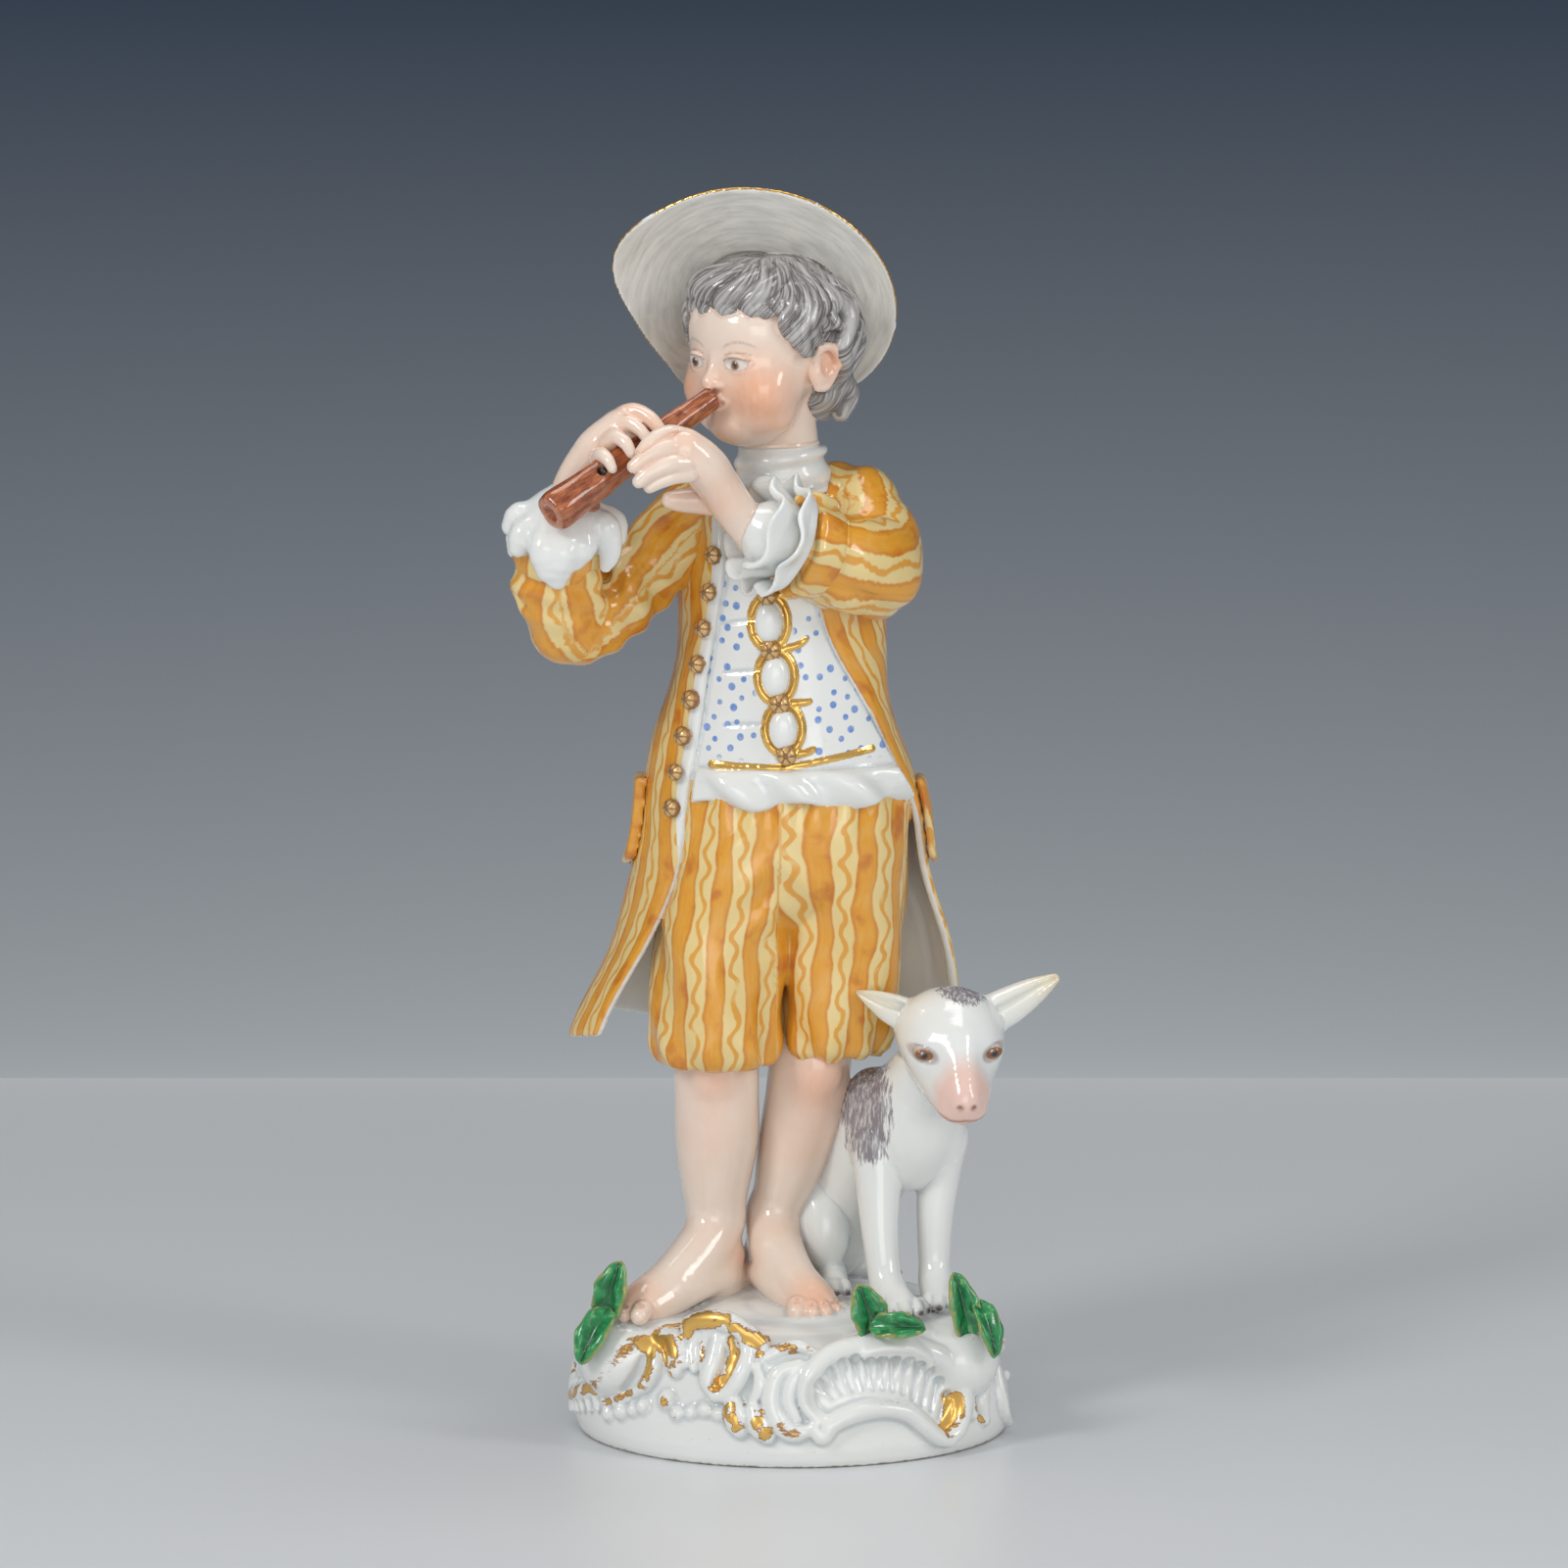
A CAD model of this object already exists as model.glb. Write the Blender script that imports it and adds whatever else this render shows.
"""Looks for the porcelain piper figurine: sculpted surfaces, enamel painting, light and camera.

Each piece is a distance field in millimetres, in the CAD's frame. Where two pieces touch, their fields
are blended, so that the glaze runs over the joint, and each piece keeps its own side of it.
"""

import math

import bpy
import numpy as np
import openvdb
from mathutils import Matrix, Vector


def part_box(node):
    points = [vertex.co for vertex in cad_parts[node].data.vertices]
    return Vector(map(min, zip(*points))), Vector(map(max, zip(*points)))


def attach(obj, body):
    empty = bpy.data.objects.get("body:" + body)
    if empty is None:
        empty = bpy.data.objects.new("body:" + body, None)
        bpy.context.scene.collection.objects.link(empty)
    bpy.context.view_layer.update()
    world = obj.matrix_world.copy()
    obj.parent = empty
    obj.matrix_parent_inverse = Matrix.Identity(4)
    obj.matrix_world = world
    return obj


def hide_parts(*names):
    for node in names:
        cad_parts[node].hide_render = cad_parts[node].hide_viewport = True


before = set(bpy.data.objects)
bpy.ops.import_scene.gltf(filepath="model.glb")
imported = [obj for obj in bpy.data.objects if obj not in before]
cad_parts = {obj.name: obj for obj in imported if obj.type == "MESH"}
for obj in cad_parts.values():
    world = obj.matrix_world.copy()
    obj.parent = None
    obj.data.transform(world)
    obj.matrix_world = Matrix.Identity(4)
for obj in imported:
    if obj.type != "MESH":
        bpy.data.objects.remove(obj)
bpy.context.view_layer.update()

MM = 0.001  # the sculpting is in millimetres, and the scene in metres
FAR = 1e3  # a distance that stands for nothing near
NEAR = 1.6  # how far round a shape its distance is worked out
MARGIN = 1.2  # how far round a piece it is sampled, and its neighbours are looked for
OVERLAP = 0.25  # thickness that two joined pieces share
RANK_STEP = 0.04  # how much further in each next rank of touching pieces lies
TOP_RANK = 6
BAND_STEPS = 3  # half-width of the level set handed to the mesher, in samples


# ---------------------------------------------------------------- fields


def vec(*values):
    return np.array(values, np.float64)


def columns(*values):
    """Values of each point side by side."""
    return np.stack(values, axis=1)


def clip01(x):
    return np.clip(x, 0, 1)


def unit(v):
    v = np.asarray(v, np.float64)
    return v / np.linalg.norm(v)


def running(way, up=(0, 0, 1)):
    """Axes of something that runs one way: ahead, to its side, and away from both."""
    ahead = unit(way)
    side = unit(np.cross(ahead, up))
    return ahead, side, np.cross(side, ahead)


def facing(way):
    """Axes of something that looks one way: to its left, forward and up."""
    forward = unit(way)
    left = unit(np.cross((0, 0, 1), forward))
    return left, forward, np.cross(forward, left)


def box_round(a, b, reach):
    """The corners of a box round two points."""
    return np.minimum(a, b) - reach, np.maximum(a, b) + reach


def circle(count):
    return np.linspace(0, 2 * math.pi, count)


class Block:
    """A box of sample points with even spacing."""

    def __init__(self, axes, step):
        self.axes, self.step = axes, step
        self.shape = tuple(len(a) for a in axes)
        self.x = axes[0][:, None, None].astype(np.float32)
        self.y = axes[1][None, :, None].astype(np.float32)
        self.z = axes[2][None, None, :].astype(np.float32)

    @staticmethod
    def around(low, high, step):
        axes = []
        for a, b in zip(low, high):
            count = int(math.ceil((b - a) / step)) + 1
            axes.append(a + step * np.arange(count))
        return Block(axes, step)

    def part(self, low, high):
        """The slices inside a box, and the block they make, or None twice."""
        cuts = []
        for axis, a, b in zip(self.axes, low, high):
            first = int(np.searchsorted(axis, a))
            last = int(np.searchsorted(axis, b))
            if last - first < 1:
                return None, None
            cuts.append(slice(first, last))
        return tuple(cuts), Block([axis[c] for axis, c in zip(self.axes, cuts)], self.step)


class Spots:
    """Loose points, measured the way a block is."""

    def __init__(self, xyz):
        self.xyz = np.asarray(xyz, np.float32)
        self.x, self.y, self.z = self.xyz.T
        self.shape = self.x.shape

    def part(self, low, high):
        inside = np.flatnonzero(((self.xyz >= low) & (self.xyz <= high)).all(axis=1))
        if not len(inside):
            return None, None
        return inside, Spots(self.xyz[inside])


def local(points, origin, axes):
    """Coordinates along three axes from an origin."""
    x, y, z = (c - np.float32(o) for c, o in zip((points.x, points.y, points.z), origin))
    return [x * np.float32(a[0]) + y * np.float32(a[1]) + z * np.float32(a[2]) for a in axes]


def blend_min(a, b, k):
    """The lower of two distances, rounded over k millimetres where they are close."""
    low = np.minimum(a, b)
    if k <= 0:
        return low
    near = np.maximum(k - np.abs(a - b), 0) / k
    return low - near * near * near * (k / 6)


def blend_max(a, b, k):
    return -blend_min(-a, -b, k)


class Shape:
    """A distance function of a block or of spots, with the box that holds it."""

    def __init__(self, measure, low, high):
        self.measure = lambda points: measure(points).astype(np.float32)
        self.low, self.high = np.asarray(low, np.float64), np.asarray(high, np.float64)


AXES = (vec(1, 0, 0), vec(0, 1, 0), vec(0, 0, 1))


def ball(centre, radii, axes=AXES):
    """An ellipsoid; radii may be one number or three along the axes."""
    radii = np.broadcast_to(np.asarray(radii, np.float64), 3)
    axes = [unit(a) for a in axes]
    reach = np.sqrt(sum((r * a) ** 2 for r, a in zip(radii, axes)))

    def measure(block):
        p = local(block, centre, axes)
        q = [c / np.float32(r) for c, r in zip(p, radii)]
        k0 = np.sqrt(q[0] ** 2 + q[1] ** 2 + q[2] ** 2) + 1e-6
        k1 = np.sqrt(sum((c / np.float32(r)) ** 2 for c, r in zip(q, radii))) + 1e-6
        return k0 * (k0 - 1) / k1

    return Shape(measure, vec(*centre) - reach, vec(*centre) + reach)


def cone(a, b, ra, rb, flat=None):
    """A round-ended cone. flat is a direction and how thin the cone is along it, as a share."""
    a, b = vec(*a), vec(*b)
    along = b - a
    length2 = float(along @ along) + 1e-9
    big = max(ra, rb)

    def measure(block):
        x, y, z = block.x - np.float32(a[0]), block.y - np.float32(a[1]), block.z - np.float32(a[2])
        t = clip01((x * along[0] + y * along[1] + z * along[2]) / length2).astype(np.float32)
        x, y, z = x - t * np.float32(along[0]), y - t * np.float32(along[1]), z - t * np.float32(along[2])
        if flat is not None:
            n, share = unit(flat[0]), flat[1]
            more = (x * n[0] + y * n[1] + z * n[2]) * (1 / share - 1)
            x, y, z = x + more * n[0], y + more * n[1], z + more * n[2]
        radius = np.float32(ra) + t * np.float32(rb - ra)
        d = np.sqrt(x * x + y * y + z * z) - radius
        return d * ((1 + flat[1]) / 2) if flat is not None else d

    return Shape(measure, np.minimum(a, b) - big, np.maximum(a, b) + big)


def union(shapes):
    """Shapes joined in one, each measured only near itself."""
    low = np.min([s.low for s in shapes], axis=0)
    high = np.max([s.high for s in shapes], axis=0)

    def measure(block):
        out = np.full(block.shape, FAR, np.float32)
        for s in shapes:
            cut, small = block.part(s.low - NEAR, s.high + NEAR)
            if cut is not None:
                out[cut] = np.minimum(out[cut], s.measure(small))
        return out

    return Shape(measure, low, high)


def smooth_path(points, per):
    """A Catmull-Rom path through points of any width."""
    p = np.asarray(points, np.float64)
    p = np.vstack([2 * p[0] - p[1], p, 2 * p[-1] - p[-2]])
    out = []
    for i in range(1, len(p) - 2):
        for s in range(per):
            t = s / per
            a, b, c, d = p[i - 1], p[i], p[i + 1], p[i + 2]
            out.append(0.5 * (2 * b + (c - a) * t + (2 * a - 5 * b + 4 * c - d) * t**2
                              + (3 * b - a - 3 * c + d) * t**3))
    out.append(p[-2])
    return np.array(out)


def tube(points, flat=None, per=4):
    """A tube through (x, y, z, radius) points."""
    path = smooth_path(points, per)
    return union([cone(a[:3], b[:3], a[3], b[3], flat) for a, b in zip(path, path[1:])])


def loft(rows, power=2.0):
    """A body of level oval sections, each (z, centre x, centre y, half-width, half-depth), open ended."""
    rows = np.array(rows, np.float64)
    wide, deep = rows[:, 3].max(), rows[:, 4].max()

    def measure(block):
        cx, cy, rx, ry = (np.interp(block.z, rows[:, 0], rows[:, k]).astype(np.float32) for k in range(1, 5))
        u, v = (block.x - cx) / rx, (block.y - cy) / ry
        if power == 2.0:
            r = np.sqrt(u * u + v * v)
        else:
            r = (np.abs(u) ** power + np.abs(v) ** power) ** (1 / power)
        d = (r - 1) * np.minimum(rx, ry) * 0.96
        return np.maximum(d, np.maximum(rows[0, 0] - block.z, block.z - rows[-1, 0]))

    low = [rows[:, 1].min() - wide, rows[:, 2].min() - deep, rows[0, 0]]
    high = [rows[:, 1].max() + wide, rows[:, 2].max() + deep, rows[-1, 0]]
    return Shape(measure, low, high)


def slab(low_z, high_z):
    """Everything between two levels."""

    def measure(block):
        return np.maximum(low_z - block.z, block.z - high_z) + np.zeros(block.shape, np.float32)

    return Shape(measure, (-FAR, -FAR, low_z), (FAR, FAR, high_z))


class Piece:
    """One sculpted piece: its shapes, its blend with its neighbours, and its paint."""

    made = []

    def __init__(self, name, node, look, step, fillet):
        """Replaces one CAD node; step is the sampling and fillet the blend with what it touches, in mm."""
        self.name, self.nodes, self.look = name, [node], look
        self.step, self.fillet, self.slot = step, fillet, SLOT.get(look, "white_glaze")
        self.ops, self.paints = [], []
        Piece.made.append(self)

    def add(self, shape, k=0.0):
        self.ops.append(("add", shape, k))
        return self

    def cut(self, shape, k):
        self.ops.append(("cut", shape, k))
        return self

    def keep(self, shape, k=0.0):
        self.ops.append(("keep", shape, k))
        return self

    def warp(self, function):
        """Moves the surface in or out by a function of a block."""
        self.ops.append(("warp", Shape(function, (-FAR,) * 3, (FAR,) * 3), 0))
        return self

    def paint(self, name, function):
        """An attribute computed from the points, in millimetres."""
        self.paints.append((name, function))
        return self

    @property
    def box(self):
        added = [s for kind, s, _ in self.ops if kind == "add"]
        low, high = np.min([s.low for s in added], axis=0), np.max([s.high for s in added], axis=0)
        for kind, s, _ in self.ops:
            if kind == "keep":
                low, high = np.maximum(low, s.low), np.minimum(high, s.high)
        return low, high

    def measure(self, block):
        out = np.full(block.shape, FAR, np.float32)
        for kind, shape, k in self.ops:
            reach = NEAR + k
            if kind == "keep":
                cut, small = slice(None), block
            else:
                cut, small = block.part(shape.low - reach, shape.high + reach)
            if cut is None:
                continue
            if kind == "add":
                out[cut] = blend_min(out[cut], shape.measure(small), k)
            elif kind == "cut":
                out[cut] = blend_max(out[cut], -shape.measure(small), k)
            elif kind == "keep":
                out = blend_max(out, shape.measure(small), k).astype(np.float32)
            else:
                out[cut] = out[cut] + shape.measure(small)
        return out


def mesh_piece(piece, rank):
    """Points, quads and hollowness of one piece, blended with the pieces it touches."""
    low, high = piece.box
    block = Block.around(low - MARGIN, high + MARGIN, piece.step)
    own = piece.measure(block)
    rest = np.full(block.shape, FAR, np.float32)
    merged = own.copy()
    for other in Piece.made:
        if other is piece:
            continue
        a, b = other.box
        cut, small = block.part(a - MARGIN, b + MARGIN)
        if cut is None or own[cut].min() > MARGIN:
            continue
        d = other.measure(small)
        rest[cut] = np.minimum(rest[cut], d)
        merged[cut] = blend_min(merged[cut], d, min(piece.fillet, other.fillet))
    body = np.maximum(merged + rank * RANK_STEP, own - rest - OVERLAP)
    band = BAND_STEPS * piece.step
    grid = openvdb.FloatGrid(band)
    grid.copyFromArray(np.clip(body, -band, band).astype(np.float32))
    points, _, quads = grid.convertToPolygons(isovalue=0.0, adaptivity=0.0)
    cavity = sample(curvature(merged, piece.step), points)
    points = points * piece.step + np.array([a[0] for a in block.axes])
    points, quads, cavity = keep_largest(points, quads, cavity)
    points = relax(points, quads, 2)
    return points, quads[:, ::-1], cavity


def curvature(field, step):
    """How hollow the field is at each sample, in 1/mm: above 0 in a crevice."""
    out = np.zeros_like(field)
    core = (slice(1, -1),) * 3
    total = -6 * field[core]
    for axis in range(3):
        for way in (0, 2):
            s = [slice(1, -1)] * 3
            s[axis] = slice(way, way + field.shape[axis] - 2)
            total = total + field[tuple(s)]
    out[core] = -total / step**2
    return out


def sample(field, points):
    """The field at points given in samples, between the eight around each."""
    top = np.array(field.shape) - 2
    base = np.clip(np.floor(points).astype(int), 0, top)
    t = clip01(points - base)
    out = np.zeros(len(points))
    for corner in range(8):
        o = [(corner >> i) & 1 for i in range(3)]
        weight = np.prod([t[:, i] if o[i] else 1 - t[:, i] for i in range(3)], axis=0)
        out += weight * field[base[:, 0] + o[0], base[:, 1] + o[1], base[:, 2] + o[2]]
    return out


def keep_largest(points, quads, cavity):
    """Drops crumbs that a cut left apart from the piece."""
    label = np.arange(len(points))
    edges = np.vstack([quads[:, [0, 1]], quads[:, [1, 2]], quads[:, [2, 3]]]).astype(np.int64)
    while True:
        low = np.minimum(label[edges[:, 0]], label[edges[:, 1]])
        before = label.copy()
        np.minimum.at(label, edges[:, 0], low)
        np.minimum.at(label, edges[:, 1], low)
        label = label[label]
        if (label == before).all():
            break
    best = np.bincount(label).argmax()
    kept = label == best
    index = np.cumsum(kept) - 1
    quads = index[quads[kept[quads[:, 0]]]]
    return points[kept], quads, cavity[kept]


def relax(points, quads, rounds):
    """Evens the mesh out with a smoothing that doesn't shrink it."""
    edges = np.vstack([quads[:, [i, (i + 1) % 4]] for i in range(4)])
    a, b = edges[:, 0], edges[:, 1]
    count = np.bincount(a, minlength=len(points)) + np.bincount(b, minlength=len(points))
    for weight in (0.5, -0.52) * rounds:
        move = np.empty_like(points)
        for k in range(3):
            total = np.bincount(a, weights=points[b, k], minlength=len(points))
            total += np.bincount(b, weights=points[a, k], minlength=len(points))
            move[:, k] = total / count - points[:, k]
        points = points + weight * move
    return points


def build(piece, rank):
    """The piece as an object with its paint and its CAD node."""
    points, quads, cavity = mesh_piece(piece, rank)
    mesh = bpy.data.meshes.new(piece.name)
    mesh.vertices.add(len(points))
    mesh.vertices.foreach_set("co", (points * MM).ravel().astype(np.float32))
    mesh.loops.add(quads.size)
    mesh.loops.foreach_set("vertex_index", quads.ravel().astype(np.int32))
    mesh.polygons.add(len(quads))
    mesh.polygons.foreach_set("loop_start", np.arange(0, quads.size, 4, dtype=np.int32))
    mesh.update(calc_edges=True)
    mesh.validate()
    mesh.shade_smooth()
    put(mesh, "cavity", cavity)
    for name, function in piece.paints:
        put(mesh, name, function(Spots(points)))
    mesh.materials.append(LOOK[piece.look])
    obj = bpy.data.objects.new(piece.name, mesh)
    bpy.context.scene.collection.objects.link(obj)
    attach(obj, "root")
    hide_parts(*piece.nodes)
    return obj


def put(mesh, name, values):
    """Stores one number or three for each vertex."""
    values = np.asarray(values, np.float32)
    if values.ndim == 1:
        mesh.attributes.new(name, "FLOAT", "POINT").data.foreach_set("value", values)
    else:
        mesh.attributes.new(name, "FLOAT_VECTOR", "POINT").data.foreach_set("vector", values.ravel())


# ---------------------------------------------------------------- shader tools


class Shader:
    """Builds a node material in few words. Every method returns an output socket."""

    def __init__(self, name):
        self.material = bpy.data.materials.new(name)
        self.material.use_nodes = True
        self.tree = self.material.node_tree
        self.out = self.tree.nodes["Principled BSDF"]

    def node(self, kind, *inputs, **settings):
        made = self.tree.nodes.new("ShaderNode" + kind)
        for key, value in settings.items():
            setattr(made, key, value)
        for i, value in enumerate(inputs):
            self.feed(made.inputs[i], value)
        return made

    def feed(self, socket, value):
        if value is None:
            return
        if isinstance(value, bpy.types.NodeSocket):
            self.tree.links.new(value, socket)
        elif isinstance(value, tuple) and socket.type == "RGBA" and len(value) == 3:
            socket.default_value = (*value, 1)
        else:
            socket.default_value = value

    def attr(self, name, out="Fac"):
        return self.node("Attribute", attribute_name=name).outputs[out]

    def place(self):
        """Positions in millimetres."""
        spot = self.node("TexCoord").outputs["Object"]
        return self.node("VectorMath", spot, (1 / MM,) * 3, operation="MULTIPLY").outputs[0]

    def math(self, operation, a, b=None):
        return self.node("Math", a, b, operation=operation).outputs[0]

    def plus(self, a, b):
        return self.math("ADD", a, b)

    def minus(self, a, b):
        return self.math("SUBTRACT", a, b)

    def times(self, a, b):
        return self.math("MULTIPLY", a, b)

    def least(self, a, b):
        return self.math("MINIMUM", a, b)

    def size(self, a):
        return self.math("ABSOLUTE", a)

    def split(self, vector):
        return self.node("SeparateXYZ", vector).outputs

    def join(self, x, y):
        return self.node("CombineXYZ", x, y, 0.0).outputs[0]

    def ramp(self, value, low, high, smooth=True):
        """0 below low and 1 above high."""
        made = self.node("MapRange", interpolation_type="SMOOTHSTEP" if smooth else "LINEAR")
        for i, v in enumerate((value, low, high, 0.0, 1.0)):
            self.feed(made.inputs[i], v)
        return made.outputs[0]

    def noise(self, vector, scale, detail, rough=0.5):
        made = self.node("TexNoise")
        self.feed(made.inputs["Vector"], vector)
        made.inputs["Scale"].default_value = scale
        made.inputs["Detail"].default_value = detail
        made.inputs["Roughness"].default_value = rough
        return made.outputs["Fac"]

    def stretch(self, vector, x, y, z):
        return self.node("VectorMath", vector, (x, y, z), operation="MULTIPLY").outputs[0]

    def mix(self, factor, a, b):
        made = self.node("Mix", data_type="RGBA")
        self.feed(made.inputs["Factor"], factor)
        self.feed(made.inputs[6], a)
        self.feed(made.inputs[7], b)
        return made.outputs[2]

    def level(self, factor, a, b):
        made = self.node("Mix", data_type="FLOAT")
        self.feed(made.inputs["Factor"], factor)
        self.feed(made.inputs[2], a)
        self.feed(made.inputs[3], b)
        return made.outputs[0]

    def finish(self, colour, rough=0.12, metal=None, bump=None, depth=0.00006):
        """Connects the colour under a wet-looking glaze."""
        spot = self.place()
        soft = self.noise(spot, 0.35, 2.0)
        fine = self.noise(spot, 1.6, 1.0)
        height = self.plus(soft, self.times(fine, 0.2))
        if bump is not None:
            height = self.plus(height, bump)
        made = self.node("Bump")
        made.inputs["Strength"].default_value = 0.6
        made.inputs["Distance"].default_value = depth
        self.feed(made.inputs["Height"], height)
        self.feed(self.out.inputs["Normal"], made.outputs[0])
        self.feed(self.out.inputs["Base Color"], colour)
        speck = self.times(self.noise(spot, 2.5, 3.0), 0.06)
        self.feed(self.out.inputs["Roughness"], self.plus(speck, rough) if isinstance(rough, float)
                  else rough)
        self.out.inputs["Coat Weight"].default_value = 0.35
        self.out.inputs["Coat Roughness"].default_value = 0.05
        self.out.inputs["IOR"].default_value = 1.5
        if metal is not None:
            self.feed(self.out.inputs["Metallic"], metal)
        return self.material


# The palette, in linear light.
WHITE = (0.79, 0.81, 0.80)
POOLED = (0.52, 0.57, 0.60)
CREAM = (0.79, 0.565, 0.20)
PALE_CREAM = (0.83, 0.675, 0.34)
AMBER = (0.71, 0.255, 0.010)
DEEP_AMBER = (0.55, 0.14, 0.006)
GOLD = (0.83, 0.50, 0.13)
WORN_GOLD = (0.34, 0.16, 0.05)
SKIN = (0.85, 0.665, 0.55)
BLUSH = (0.86, 0.39, 0.21)
BLUE = (0.14, 0.27, 0.62)
IVORY = (0.81, 0.81, 0.77)
POOLED_CREAM = (0.62, 0.44, 0.16)
LIGHT_AMBER = (0.84, 0.45, 0.04)
THIN_AMBER = (0.74, 0.32, 0.025)
PALE_SKIN = (0.86, 0.76, 0.66)
SKIN_CREASE = (0.74, 0.42, 0.30)
HAIR_PALE = (0.56, 0.545, 0.53)
HAIR_DARK = (0.085, 0.073, 0.074)
HAIR_WARM = (0.16, 0.125, 0.11)
HAT_PALE = (0.86, 0.835, 0.77)
HAT_GREY = (0.62, 0.60, 0.55)
HAT_PATCH = (0.70, 0.69, 0.66)
HAT_INNER = (0.42, 0.40, 0.38)
HAT_EDGE = (0.74, 0.75, 0.72)
PIPE_RED = (0.52, 0.16, 0.06)
PIPE_DARK = (0.17, 0.035, 0.012)
PIPE_BLOT = (0.62, 0.27, 0.13)
PIPE_END = (0.66, 0.30, 0.17)
PIPE_HOLE = (0.03, 0.008, 0.004)
LEAF_DARK = (0.010, 0.16, 0.045)
LEAF_GREEN = (0.035, 0.34, 0.11)
LEAF_WORN = (0.50, 0.45, 0.13)
LEAF_PALE = (0.42, 0.50, 0.22)
LEAF_DEEP = (0.006, 0.09, 0.03)
BARE_CLAY = (0.20, 0.14, 0.09)
GILT_BROWN = (0.24, 0.11, 0.035)
GILT = (0.72, 0.47, 0.20)
FUR_DARK = (0.13, 0.10, 0.12)
FUR_GREY = (0.30, 0.26, 0.29)

# The coat's stripes: millimetres from one to the next, and as shares of that, where the wide and the thin
# stripe lie, the wide one's half-width and the thin one's wave.
STRIPE_PITCH, WIDE_AT, WIDE_HALF, THIN_AT, THIN_WAVE = 4.8, 0.28, 0.255, 0.79, 0.085


def white_ground(s):
    """White glaze that is a little bluer and darker where it pools."""
    pool = s.ramp(s.attr("cavity"), 0.1, 1.8)
    tone = s.mix(s.noise(s.place(), 0.12, 2.0), WHITE, IVORY)
    return s.mix(s.times(pool, 0.55), tone, POOLED)


def gilded(s, ground, mask, wear=0.55):
    """Gold brushed over the ground where the mask is 1, with brown worn edges. Returns colour and metal."""
    streaks = s.noise(s.stretch(s.place(), 1.0, 1.0, 3.0), 1.3, 4.0, 0.7)
    edge = s.plus(mask, s.times(s.minus(streaks, 0.5), 1.6))
    brown = s.ramp(edge, 0.25, 0.5)
    bright = s.ramp(edge, wear, wear + 0.2)
    colour = s.mix(brown, ground, WORN_GOLD)
    return s.mix(bright, colour, GOLD), bright


def striped(name):
    """Cream enamel with wide amber stripes and thin wavy ones between them, over white lining.

    The coat attribute holds millimetres across the stripes, millimetres along them, and depth.
    """
    s = Shader(name)
    across, along, depth = s.split(s.attr("coat", "Vector"))
    drift = s.times(s.minus(s.noise(s.join(across, along), 0.16, 1.0), 0.5), 2.0)
    u = s.math("DIVIDE", s.plus(across, drift), STRIPE_PITCH)
    lane = s.math("FLOOR", u)
    phase = s.math("FRACT", u)
    streak = s.noise(s.join(s.times(u, 14.0), s.times(along, 0.35)), 1.0, 3.0)
    blots = s.noise(s.join(s.times(u, 3.0), s.times(along, 0.5)), 0.5, 3.0)
    half = s.plus(WIDE_HALF, s.times(s.minus(blots, 0.5), 0.22))
    from_wide = s.size(s.minus(phase, WIDE_AT))
    wide = s.ramp(from_wide, s.plus(half, 0.03), s.minus(half, 0.03))
    rim = s.times(wide, s.ramp(from_wide, s.minus(half, 0.12), half))
    wave = s.math("SINE", s.plus(s.times(along, 1.5),
                                 s.plus(s.times(lane, 2.1), s.times(blots, 5.0))))
    middle = s.plus(THIN_AT, s.times(wave, THIN_WAVE))
    from_thin = s.size(s.minus(phase, middle))
    thin = s.ramp(from_thin, 0.078, 0.045)
    thin = s.times(thin, s.ramp(blots, 0.28, 0.42))
    ground = s.mix(s.noise(s.place(), 0.22, 2.0), CREAM, PALE_CREAM)
    pool = s.ramp(s.attr("cavity"), 0.2, 2.0)
    ground = s.mix(s.times(pool, 0.45), ground, POOLED_CREAM)
    strength = s.plus(0.52, s.times(blots, 0.9))
    amber = s.mix(s.times(streak, 0.8), AMBER, LIGHT_AMBER)
    amber = s.mix(s.times(s.ramp(blots, 0.52, 0.72), 0.85), amber, DEEP_AMBER)
    amber = s.mix(s.times(rim, 0.65), amber, DEEP_AMBER)
    colour = s.mix(s.times(wide, s.least(strength, 0.96)), ground, amber)
    colour = s.mix(s.times(thin, 0.88), colour, THIN_AMBER)
    outside = s.ramp(depth, 0.55, 0.35)
    colour = s.mix(outside, white_ground(s), colour)
    return s.finish(colour, 0.11)


def fleshy():
    """Pale flesh tint, with blush and painted lines where the attributes say."""
    s = Shader("flesh_look")
    wash = s.noise(s.place(), 0.4, 3.0)
    strokes = s.noise(s.stretch(s.place(), 1.0, 1.0, 0.4), 1.6, 3.0)
    skin = s.mix(wash, SKIN, PALE_SKIN)
    pool = s.ramp(s.attr("cavity"), 0.2, 2.4)
    skin = s.mix(s.times(pool, 0.35), skin, SKIN_CREASE)
    blush = s.times(s.attr("blush"), s.plus(0.62, s.times(strokes, 0.45)))
    skin = s.mix(s.least(blush, 1.0), skin, BLUSH)
    ink = s.times(s.attr("ink"), s.plus(0.7, s.times(strokes, 0.5)))
    skin = s.mix(s.least(ink, 1.0), skin, s.attr("ink_colour", "Color"))
    return s.finish(skin, 0.10)


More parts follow.
